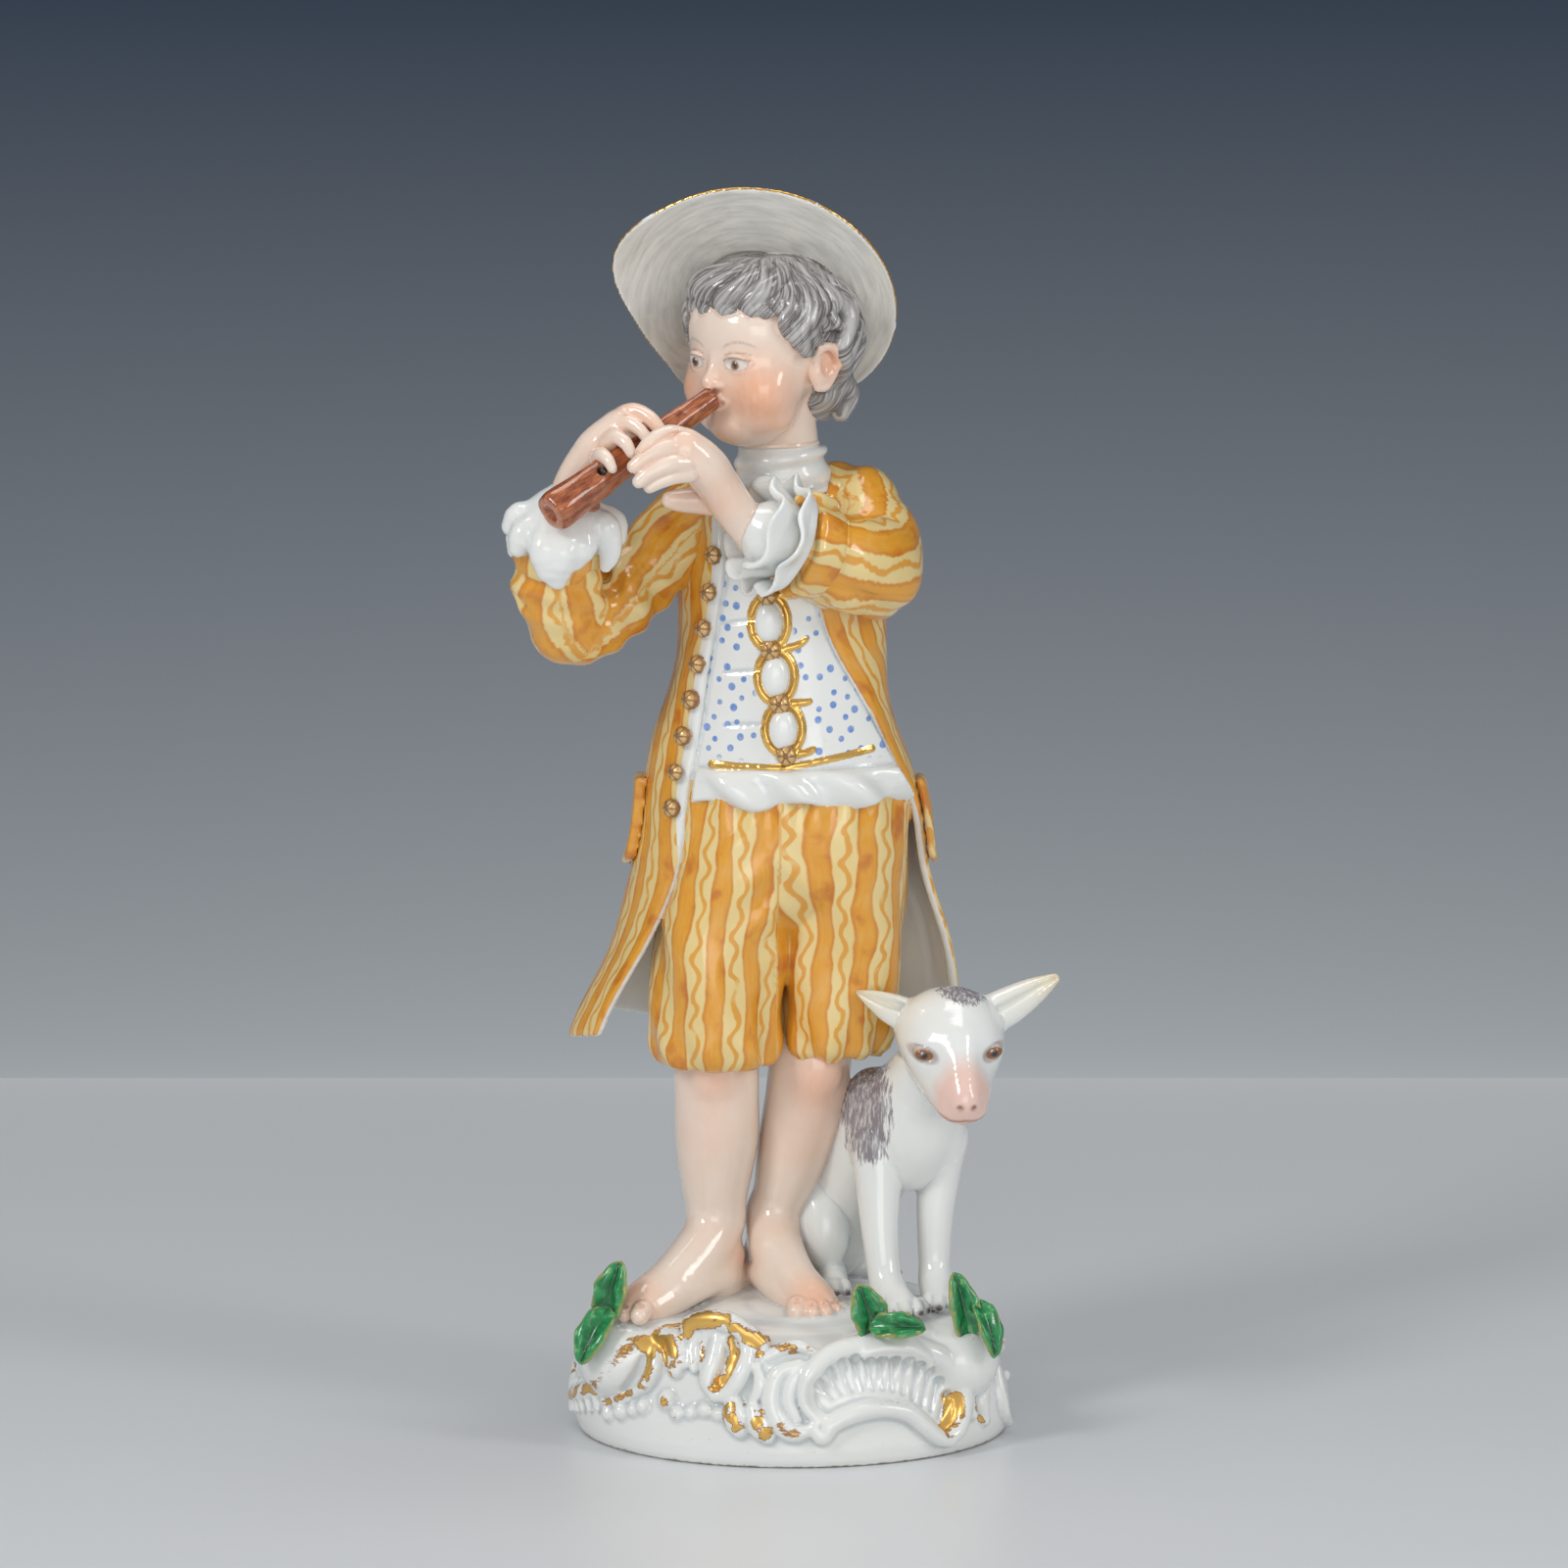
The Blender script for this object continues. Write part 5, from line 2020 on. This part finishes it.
hair.add(head_ball(0, -4.6, -4.4, (7.2, 3.9, 3.9)), 1.4)
for side in (-6.0, -3.4, 0.0, 3.4, 6.0):
    hair.add(head_tube([(side, -5.0, -2.6, 1.5), (side * 1.02, -6.8, -4.8, 1.6),
                        (side * 0.96, -6.2, -7.0, 1.2)]), 0.9)
brim = Piece("hat_brim_curled", "hat_brim", "hat", 0.25, 0.9)
brim.add(Shape(brim_body, HAT - 20, HAT + 20))
brim.paint("hat", hat_paint)
crown = Piece("hat_crown_rounded", "hat_crown", "hat", 0.25, 0.9)
crown.add(Shape(crown_body, HAT - 12, HAT + 12))
# The cord where the crown meets the brim.
crown.add(tube([(*(CROWN + HAT_OUT * 1.5 + (HAT_ACROSS * math.cos(t) + HAT_UP * math.sin(t)) * 8.6), 0.55)
                for t in circle(21)], per=2), 0.5)
crown.paint("hat", crown_paint)


# ---------------------------------------------------------------- buttons and toggles


def button(name, node, look, radius, height, outward):
    """A domed button with a rolled rim, a middle bead and six petals."""
    centre = middle_of(node)
    side, out, up = facing(outward)
    piece = Piece(name, node, look, 0.14, 0.18)
    piece.add(ball(centre, (radius, radius, height), (side, up, out)))
    rim = radius * 0.86
    piece.add(tube([(*(centre + side * rim * math.cos(t) + up * rim * math.sin(t)), 0.2)
                    for t in circle(13)],
                   per=2), 0.2)
    piece.add(ball(centre + out * height * 0.85, 0.34), 0.2)
    for k in range(6):
        t = k * math.pi / 3
        way = side * math.cos(t) + up * math.sin(t)
        inner, outer = centre + way * 0.4 + out * (height
                                                   + 0.1), centre + way * radius * 0.75 + out * height * 0.75
        piece.cut(cone(inner, outer, 0.12, 0.16), 0.12)

    def disc(p):
        x, y = local(p, centre, (side, up))
        return columns(x, y, np.hypot(x, y) / radius)

    piece.paint("disc", disc)


for i in range(1, 9):
    button(f"coat_button_gilt_{i}", f"coat_button_{i}", "coat_button", 1.12, 0.85, (-0.62, -0.78, 0.1))
for i in range(1, 5):
    button(f"waistcoat_button_gilt_{i}", f"waistcoat_button_{i}", "vest_button", 1.15, 0.95,
           (-0.12, -0.99, 0.05))
for i in range(1, 4):
    node = f"frog_toggle_{i}"
    middle = middle_of(node)
    toggle = Piece(f"toggle_oval_{i}", node, "white", 0.18, 0.25)
    toggle.add(ball(middle, (1.7, 1.2, 2.45)))
    toggle.cut(tube([(middle[0] - 0.5, middle[1] - 1.3, middle[2] + 1.6, 0.1),
                     (middle[0] + 0.1, middle[1] - 1.4, middle[2], 0.16),
                     (middle[0] - 0.4, middle[1] - 1.3, middle[2] - 1.5, 0.1)]), 0.35)


# ---------------------------------------------------------------- dog


def fur_paint(piece, patches=(), tints=(), tint_colour=(0.83, 0.60, 0.50), inks=(),
              ink_colour=(0.10, 0.05, 0.05)):
    """Patches are (centre, radius) of drawn fur, tints and inks are (x, y, z, radius, strength)."""

    def fur(p):
        patch = np.full(len(p.x), -1.0)
        for centre, radii in patches:
            patch = np.maximum(patch, (1 - oval(p, centre, radii)) * 2.2)
        return columns(patch, clip01(near(p, tints)) if tints else 0 * p.x, 0 * p.x)

    piece.paint("fur", fur)
    piece.paint("tint_colour", lambda p: np.tile(tint_colour, (len(p.x), 1)))
    piece.paint("ink", lambda p: clip01(near(p, inks)) if inks else 0 * p.x)
    piece.paint("ink_colour", lambda p: np.tile(ink_colour, (len(p.x), 1)))


def dog_part(name, node, step=0.28, fillet=1.0):
    return Piece(name, node, "dog", step, fillet)


dog_body = dog_part("dog_trunk", "dog_body")
dog_body.add(tube([(4.4, 9.8, 20.6, 5.2), (5.6, 8.4, 25.6, 6.0), (8.8, 5.0, 31.2, 6.2),
                   (12.0, 1.2, 36.0, 6.5), (15.2, -3.0, 41.4, 5.4), (16.6, -5.4, 44.6, 4.8)]))
dog_body.add(ball((14.4, -3.5, 37.4), (4.9, 4.2, 6.0)), 2.0)
dog_body.add(ball((13.8, -2.4, 33.6), (4.0, 3.6, 4.7)), 2.4)
dog_body.add(ball((9.4, 0.6, 38.6), (3.6, 3.8, 5.0)), 2.0)
dog_body.add(ball((17.6, -1.0, 36.0), (3.2, 3.8, 5.4)), 1.6)
dog_body.cut(tube([(13.4, -8.6, 30.2, 0.5), (13.6, -6.4, 28.4, 0.9), (13.6, -3, 27.4, 0.9)]), 1.2)
dog_body.keep(slab(14.5, 46.5), 0.5)
fur_paint(dog_body, [((9.0, -3.0, 39.6), (4.4, 6.5, 8.2)), ((7.5, 0.5, 43), (3.4, 6, 4)),
                     ((5, 14, 30), (5, 6, 6))])

dog_head = dog_part("dog_skull", "dog_head", 0.2, 0.9)
DOG_AXES = DOG_SIDE, DOG_FACE, DOG_UP = facing((0.16, -0.95, -0.26))
DOG = vec(18.6, -8.6, 48.4)


def on_dog(side, forward, up):
    return DOG + DOG_SIDE * side + DOG_FACE * forward + DOG_UP * up


def dog_ball(side, forward, up, radii):
    return ball(on_dog(side, forward, up), radii, DOG_AXES)


def dog_tube(points):
    return tube([(*on_dog(*p[:3]), p[3]) for p in points])


dog_head.add(dog_ball(0, -0.8, 1.0, (6.5, 6.0, 5.3)))
dog_head.add(dog_ball(0, 2.0, 0.2, (5.9, 4.8, 4.7)), 1.6)
dog_head.add(dog_tube([(0, 1.4, -1.6, 5.1), (0, 4.8, -2.5, 4.3), (0, 7.4, -3.2, 3.5), (0, 9.2, -3.6, 2.5)]),
             1.8)
dog_head.add(dog_tube([(0, 4.2, 1.8, 2.4), (0, 7.2, -0.3, 2.0), (0, 9.8, -2.1, 1.6)]), 1.8)
dog_head.add(dog_ball(0, 10.6, -2.8, (1.7, 1.2, 1.3)), 0.8)
for sign in (1, -1):
    dog_head.add(dog_ball(1.25 * sign, 9.0, -4.3, (1.6, 1.8, 1.25)), 0.9)
    dog_head.cut(dog_ball(4.3 * sign, 6.4, 1.1, (1.4, 1.1, 0.8)), 0.8)
    dog_head.add(dog_ball(4.2 * sign, 4.55, 1.0, (1.2, 1.1, 0.95)), 0.25)
    dog_head.cut(dog_ball(0.8 * sign, 11.5, -2.9, (0.26, 0.3, 0.2)), 0.3)
dog_head.cut(dog_tube([(-3.2, 6.4, -4.7, 0.2), (-1.6, 9.6, -5.0, 0.22), (0, 10.8, -4.7, 0.24),
                       (1.6, 9.6, -5.0, 0.22), (3.2, 6.4, -4.7, 0.2)]), 0.3)
dog_head.cut(cone(on_dog(0, 11.4, -3.6), on_dog(0, 11.0, -4.7), 0.14, 0.14), 0.2)


def dog_face_fur(p):
    """The grey patches on the dog's crown and neck, and its tinted muzzle."""
    side, forward, up = local(p, DOG, DOG_AXES)
    crown_patch = (1 - np.sqrt(((side - 1.2) / 3.4) ** 2 + ((forward + 1.2) / 3.6) ** 2)) * 2.0
    patch = np.where(up > 3.2, crown_patch, -1.0)
    neck_patch = (1 - oval(p, (10.5, -4, 43), (3.6, 4.5, 3.6))) * 2.0
    muzzle = clip01((forward - 7.0 + 0.35 * np.minimum(up + 2, 0)) / 2.2) * 0.95
    return columns(np.maximum(patch, neck_patch), muzzle, 0 * up)


def dog_face_ink(p):
    """The dog's painted eyes, nostrils and mouth."""
    side, forward, up = local(p, DOG, DOG_AXES)
    brush = Brush(p, 1)
    lay, line = brush.lay, brush.line

    for sign in (1, -1):
        x, y = side - 4.2 * sign, up - 1.05
        front = forward > 2
        almond = 1 - np.sqrt((x / 1.3) ** 2 + (y / 0.85) ** 2)
        lay(clip01((almond + 0.32) * 4) * front * 0.45, (0.62, 0.28, 0.20))
        lay(clip01(almond * 4) * front, (0.26, 0.11, 0.04))
        pupil = np.hypot(x * 0.9, y)
        lay(clip01((0.5 - pupil) * 4) * front, (0.02, 0.02, 0.03))
        lay(clip01((0.17 - np.hypot(x + 0.3, y - 0.3)) * 10) * front, (0.6, 0.65, 0.7))
        lay(clip01((0.6 - np.hypot(side - 0.8 * sign, up + 2.9)) * 3) * (forward > 9.4) * 0.5,
            (0.72, 0.30, 0.20))
        line(np.sqrt((x / 1.35) ** 2 + (y / 0.95) ** 2) - 1.0, 0.13, front * 0.6, (0.30, 0.13, 0.08))
    mouth = np.interp(np.abs(side), (0, 1.6, 3.2, 4.4), (-4.7, -5.0, -4.5, -3.6))
    line(up - mouth, 0.3, (np.abs(side) < 4.0) * (forward > 4.6) * 0.8, (0.58, 0.22, 0.13))
    return brush


dog_head.paint("fur", dog_face_fur)
dog_head.paint("tint_colour", lambda p: np.tile((0.83, 0.50, 0.40), (len(p.x), 1)))
dog_head.paint("ink", lambda p: dog_face_ink(p).ink)
dog_head.paint("ink_colour", lambda p: dog_face_ink(p).colour)

for name, node, path, face_way in [
    ("dog_ear_on_right", "dog_ear_right",
     [(14.2, -7.4, 51.0, 2.5), (11.9, -7.2, 52.1, 2.2), (9.8, -6.8, 53.1, 1.5), (7.7, -6.4, 54.0, 0.6)],
     (-0.35, -0.55, 0.75)),
    ("dog_ear_on_left", "dog_ear_left",
     [(22.6, -7.4, 51.0, 2.5), (25.4, -6.3, 52.3, 2.3), (28.3, -5.2, 53.8, 1.7), (31.0, -4.2, 55.2, 0.7)],
     (0.2, -0.8, 0.5)),
]:
    ear = dog_part(name, node, 0.2, 0.7)
    ear.add(tube(path, flat=(face_way, 0.62)))
    along = [vec(*q[:3]) + unit(face_way) * q[3] * 0.62 for q in path]
    ear.cut(tube([(*q, r) for q, r in zip(along, (0.5, 0.55, 0.4, 0.12))]), 0.5)
    tip = path[-1]
    fur_paint(ear, tints=[(*tip[:3], 5.5, 0.8), (*path[1][:3], 3.0, 0.25)], tint_colour=(0.74, 0.62, 0.36),
              inks=[(*tip[:3], 0.9, 0.35)], ink_colour=(0.45, 0.22, 0.08))


def dog_leg(name, node, shapes, toes, claws, patches=()):
    """A leg with its toes (start, tip, radius) and the painted claws' places."""
    piece = dog_part(name, node, 0.25, 1.4)
    for shape, k in shapes:
        piece.add(shape, k)
    for start, tip, radius in toes:
        piece.add(tube([(*start, radius),
                        (*((vec(*start) + vec(*tip)) / 2 + vec(0, 0, 0.35)), radius * 1.05),
                        (*tip, radius * 0.85)], per=3), 0.25)
    piece.keep(slab(13.0, 46.0))
    fur_paint(piece, patches, inks=[(x, y, z, 0.75, 1.6) for x, y, z in claws])


dog_leg(
    "dog_foreleg_on_right", "dog_foreleg_right",
    [(tube([(10.0, -2.6, 35.0, 3.4), (10.2, -3.8, 32.0, 3.0), (10.3, -5.6, 26.0, 2.4),
            (10.8, -7.2, 20.6, 2.1), (11.6, -8.8, 18.0, 2.3), (12.8, -10.6, 17.2, 1.9)]), 0)],
    [((11.6, -10.2, 17.2), (11.9, -12.6, 16.6), 0.95), ((12.9, -10.4, 17.2), (13.4, -12.9, 16.6), 1.0),
     ((14.1, -10.0, 17.1), (14.9, -12.1, 16.6), 0.95), ((14.6, -9.2, 17.0), (15.8, -10.8, 16.5), 0.85)],
    [(12.0, -13.5, 16.5), (13.6, -13.9, 16.5), (15.3, -12.9, 16.5), (16.3, -11.4, 16.5)],
    [((9.4, -4.2, 36), (3.6, 4, 4.0))],
)
dog_leg(
    "dog_foreleg_on_left", "dog_foreleg_left",
    [(tube([(17.8, -0.4, 35.0, 3.2), (17.5, -1.0, 32.0, 2.8), (17.0, -1.8, 26.0, 2.3),
            (16.9, -2.4, 20.6, 2.0), (17.1, -3.8, 17.9, 2.2), (17.3, -5.4, 16.9, 1.8)]), 0)],
    [((16.3, -5.0, 16.8), (16.1, -7.3, 16.2), 0.9), ((17.3, -5.2, 16.8), (17.4, -7.7, 16.2), 0.95),
     ((18.3, -4.8, 16.8), (18.9, -6.9, 16.2), 0.9)],
    [(16.1, -8.2, 16.1), (17.4, -8.6, 16.1), (19.2, -7.7, 16.1)],
)
dog_leg(
    "dog_haunch_on_right", "dog_hind_leg_right",
    [(ball((2.9, 7.0, 24.2), (3.9, 6.2, 7.6)), 0), (ball((4.0, 3.0, 22.8), (2.8, 3.2, 4.8)), 2.0),
     (tube([(4.2, 5.6, 18.0, 2.2), (4.6, 2.8, 17.6, 2.0), (4.9, 0.2, 17.3, 1.75)]), 1.0)],
    [((4.0, -0.2, 17.2), (3.9, -2.4, 16.7), 0.85), ((5.0, -0.4, 17.2), (5.2, -2.7, 16.7), 0.9),
     ((5.9, 0.0, 17.1), (6.4, -2.0, 16.7), 0.85)],
    [(3.9, -3.2, 16.6), (5.3, -3.5, 16.6), (6.6, -2.8, 16.6)],
)
dog_leg(
    "dog_haunch_on_left", "dog_hind_leg_left",
    [(ball((5.4, 14.0, 21.2), (5.3, 3.2, 6.0)), 0),
     (tube([(6.6, 14.0, 16.6, 2.1), (9.0, 13.4, 16.2, 1.8), (10.6, 12.8, 16.0, 1.5)]), 1.2)],
    [((10.4, 12.0, 16.0), (12.4, 11.4, 15.6), 0.8), ((10.6, 13.0, 16.0), (12.8, 12.8, 15.6), 0.8),
     ((10.4, 13.8, 15.9), (12.2, 14.2, 15.5), 0.75)],
    [(13.1, 11.2, 15.6), (13.5, 12.8, 15.6), (12.9, 14.4, 15.5)],
)
dog_tail = dog_part("dog_tail_curled", "dog_tail", 0.25, 0.8)
dog_tail.add(tube([(2.2, 12.2, 18.6, 1.9), (-0.6, 14.0, 17.2, 1.8), (-4.2, 15.0, 16.6, 1.6),
                   (-7.6, 14.6, 16.4, 1.4), (-10.4, 13.4, 16.6, 0.9)]))
for k in range(5):
    s = -8.6 + 2.1 * k
    dog_tail.cut(tube([(s, 13.4, 17.8, 0.25), (s + 1.0, 15.2, 18.4, 0.3), (s + 1.4, 16.6, 17.0, 0.25)],
                      per=2), 0.3)
dog_tail.keep(slab(12.0, 22.0))
fur_paint(dog_tail, [((-3, 15, 17), (4.5, 3, 3))])


# ---------------------------------------------------------------- making the pieces


def ranks():
    """A small step for each piece, so that no two that touch share a surface."""
    found = []
    for i, piece in enumerate(Piece.made):
        low, high = piece.box
        taken = set()
        for j in range(i):
            a, b = Piece.made[j].box
            if (a < high + 0.5).all() and (b > low - 0.5).all():
                taken.add(found[j])
        found.append(next(r for r in range(len(Piece.made)) if r not in taken))
    return found


def check_place(piece, obj):
    """How far the piece's box is from its CAD node's, in millimetres."""
    corners = np.array([obj.matrix_world @ Vector(c) for c in obj.bound_box]) / MM
    low, high = box_mm(piece.nodes[0])
    return float(max(np.abs(corners.min(axis=0) - low).max(), np.abs(corners.max(axis=0) - high).max()))


for piece, rank in zip(Piece.made, ranks()):
    made = build(piece, min(rank, TOP_RANK))
    gap = check_place(piece, made)
    print(f"{piece.name}: {len(made.data.polygons)} faces, {gap:.1f} mm from its CAD box")


# ---------------------------------------------------------------- stage, light and camera


def backdrop_material():
    """Slate blue above, paler towards the table; clear from behind, so that it hides nothing."""
    s = Shader("backdrop_look")
    x, _, z = s.split(s.node("TexCoord").outputs["Object"])
    height = s.math("POWER", s.ramp(z, 0.0, 0.165, smooth=False), 0.62)
    lit = s.mix(height, (0.375, 0.400, 0.420), (0.030, 0.044, 0.068))
    middle = s.size(s.minus(x, 0.02))
    dim = s.mix(s.times(s.ramp(middle, 0.0, 0.20), 0.10), lit, (0.05, 0.065, 0.10))
    shine = s.node("Emission", dim, 1.0).outputs[0]
    clear = s.node("BsdfTransparent").outputs[0]
    front = s.node("MixShader", s.node("NewGeometry").outputs["Backfacing"], shine, clear).outputs[0]
    s.feed(s.tree.nodes["Material Output"].inputs[0], front)
    return s.material


def table_material():
    """Smooth pale table, a little darker towards its far edge."""
    s = Shader("table_look")
    y = s.split(s.node("TexCoord").outputs["Object"])[1]
    far = s.ramp(y, -0.25, 0.21, smooth=False)
    colour = s.mix(far, (0.90, 0.915, 0.925), (0.56, 0.575, 0.59))
    s.feed(s.out.inputs["Base Color"], colour)
    s.out.inputs["Roughness"].default_value = 0.35
    return s.material


def add_sheet(name, corners, material):
    mesh = bpy.data.meshes.new(name)
    mesh.from_pydata(corners, [], [(0, 1, 2, 3)])
    mesh.materials.append(material)
    sheet = bpy.data.objects.new(name, mesh)
    bpy.context.scene.collection.objects.link(sheet)


def add_stage():
    wide, front, back, height = 2.4, -2.0, 0.211, 1.2
    add_sheet("table_top", [(-wide, front, 0), (wide, front, 0), (wide, back, 0), (-wide, back, 0)],
              table_material())
    add_sheet("backdrop", [(-wide, back, 0), (wide, back, 0), (wide, back, height), (-wide, back, height)],
              backdrop_material())


def area_light(name, place, aim, size, power):
    data = bpy.data.lights.new(name, "AREA")
    data.shape, data.size, data.size_y = "RECTANGLE", *size
    data.energy = power
    obj = bpy.data.objects.new(name, data)
    obj.location = place
    obj.rotation_euler = (Vector(aim) - Vector(place)).to_track_quat("-Z", "Y").to_euler()
    bpy.context.scene.collection.objects.link(obj)


def add_lights():
    aim = (0, 0, 0.08)
    area_light("window_left", (-0.55, -0.55, 0.62), aim, (0.20, 0.30), 2.8)
    area_light("window_right", (0.60, -0.35, 0.45), aim, (0.15, 0.38), 1.2)
    area_light("top_soft", (0.0, 0.15, 0.9), aim, (0.6, 0.4), 2.7)
    area_light("front_soft", (0.15, -1.15, 0.26), aim, (0.7, 0.5), 2.3)
    world = bpy.data.worlds.new("room")
    world.use_nodes = True
    world.node_tree.nodes["Background"].inputs["Color"].default_value = (0.94, 0.96, 0.97, 1)
    world.node_tree.nodes["Background"].inputs["Strength"].default_value = 0.46
    bpy.context.scene.world = world


def add_camera():
    pitch, distance, aim = math.radians(9.0), 0.850, Vector((-0.00105, 0.0, 0.0779))
    data = bpy.data.cameras.new("camera")
    data.sensor_width, data.lens = 36.0, 164.5
    data.clip_start, data.clip_end = 0.01, 20.0
    obj = bpy.data.objects.new("camera", data)
    obj.location = aim + Vector((0, -math.cos(pitch), math.sin(pitch))) * distance
    obj.rotation_euler = (math.pi / 2 - pitch, 0, 0)
    bpy.context.scene.collection.objects.link(obj)
    bpy.context.scene.camera = obj


bpy.context.scene.view_settings.view_transform = "Standard"
add_stage()
add_lights()
add_camera()
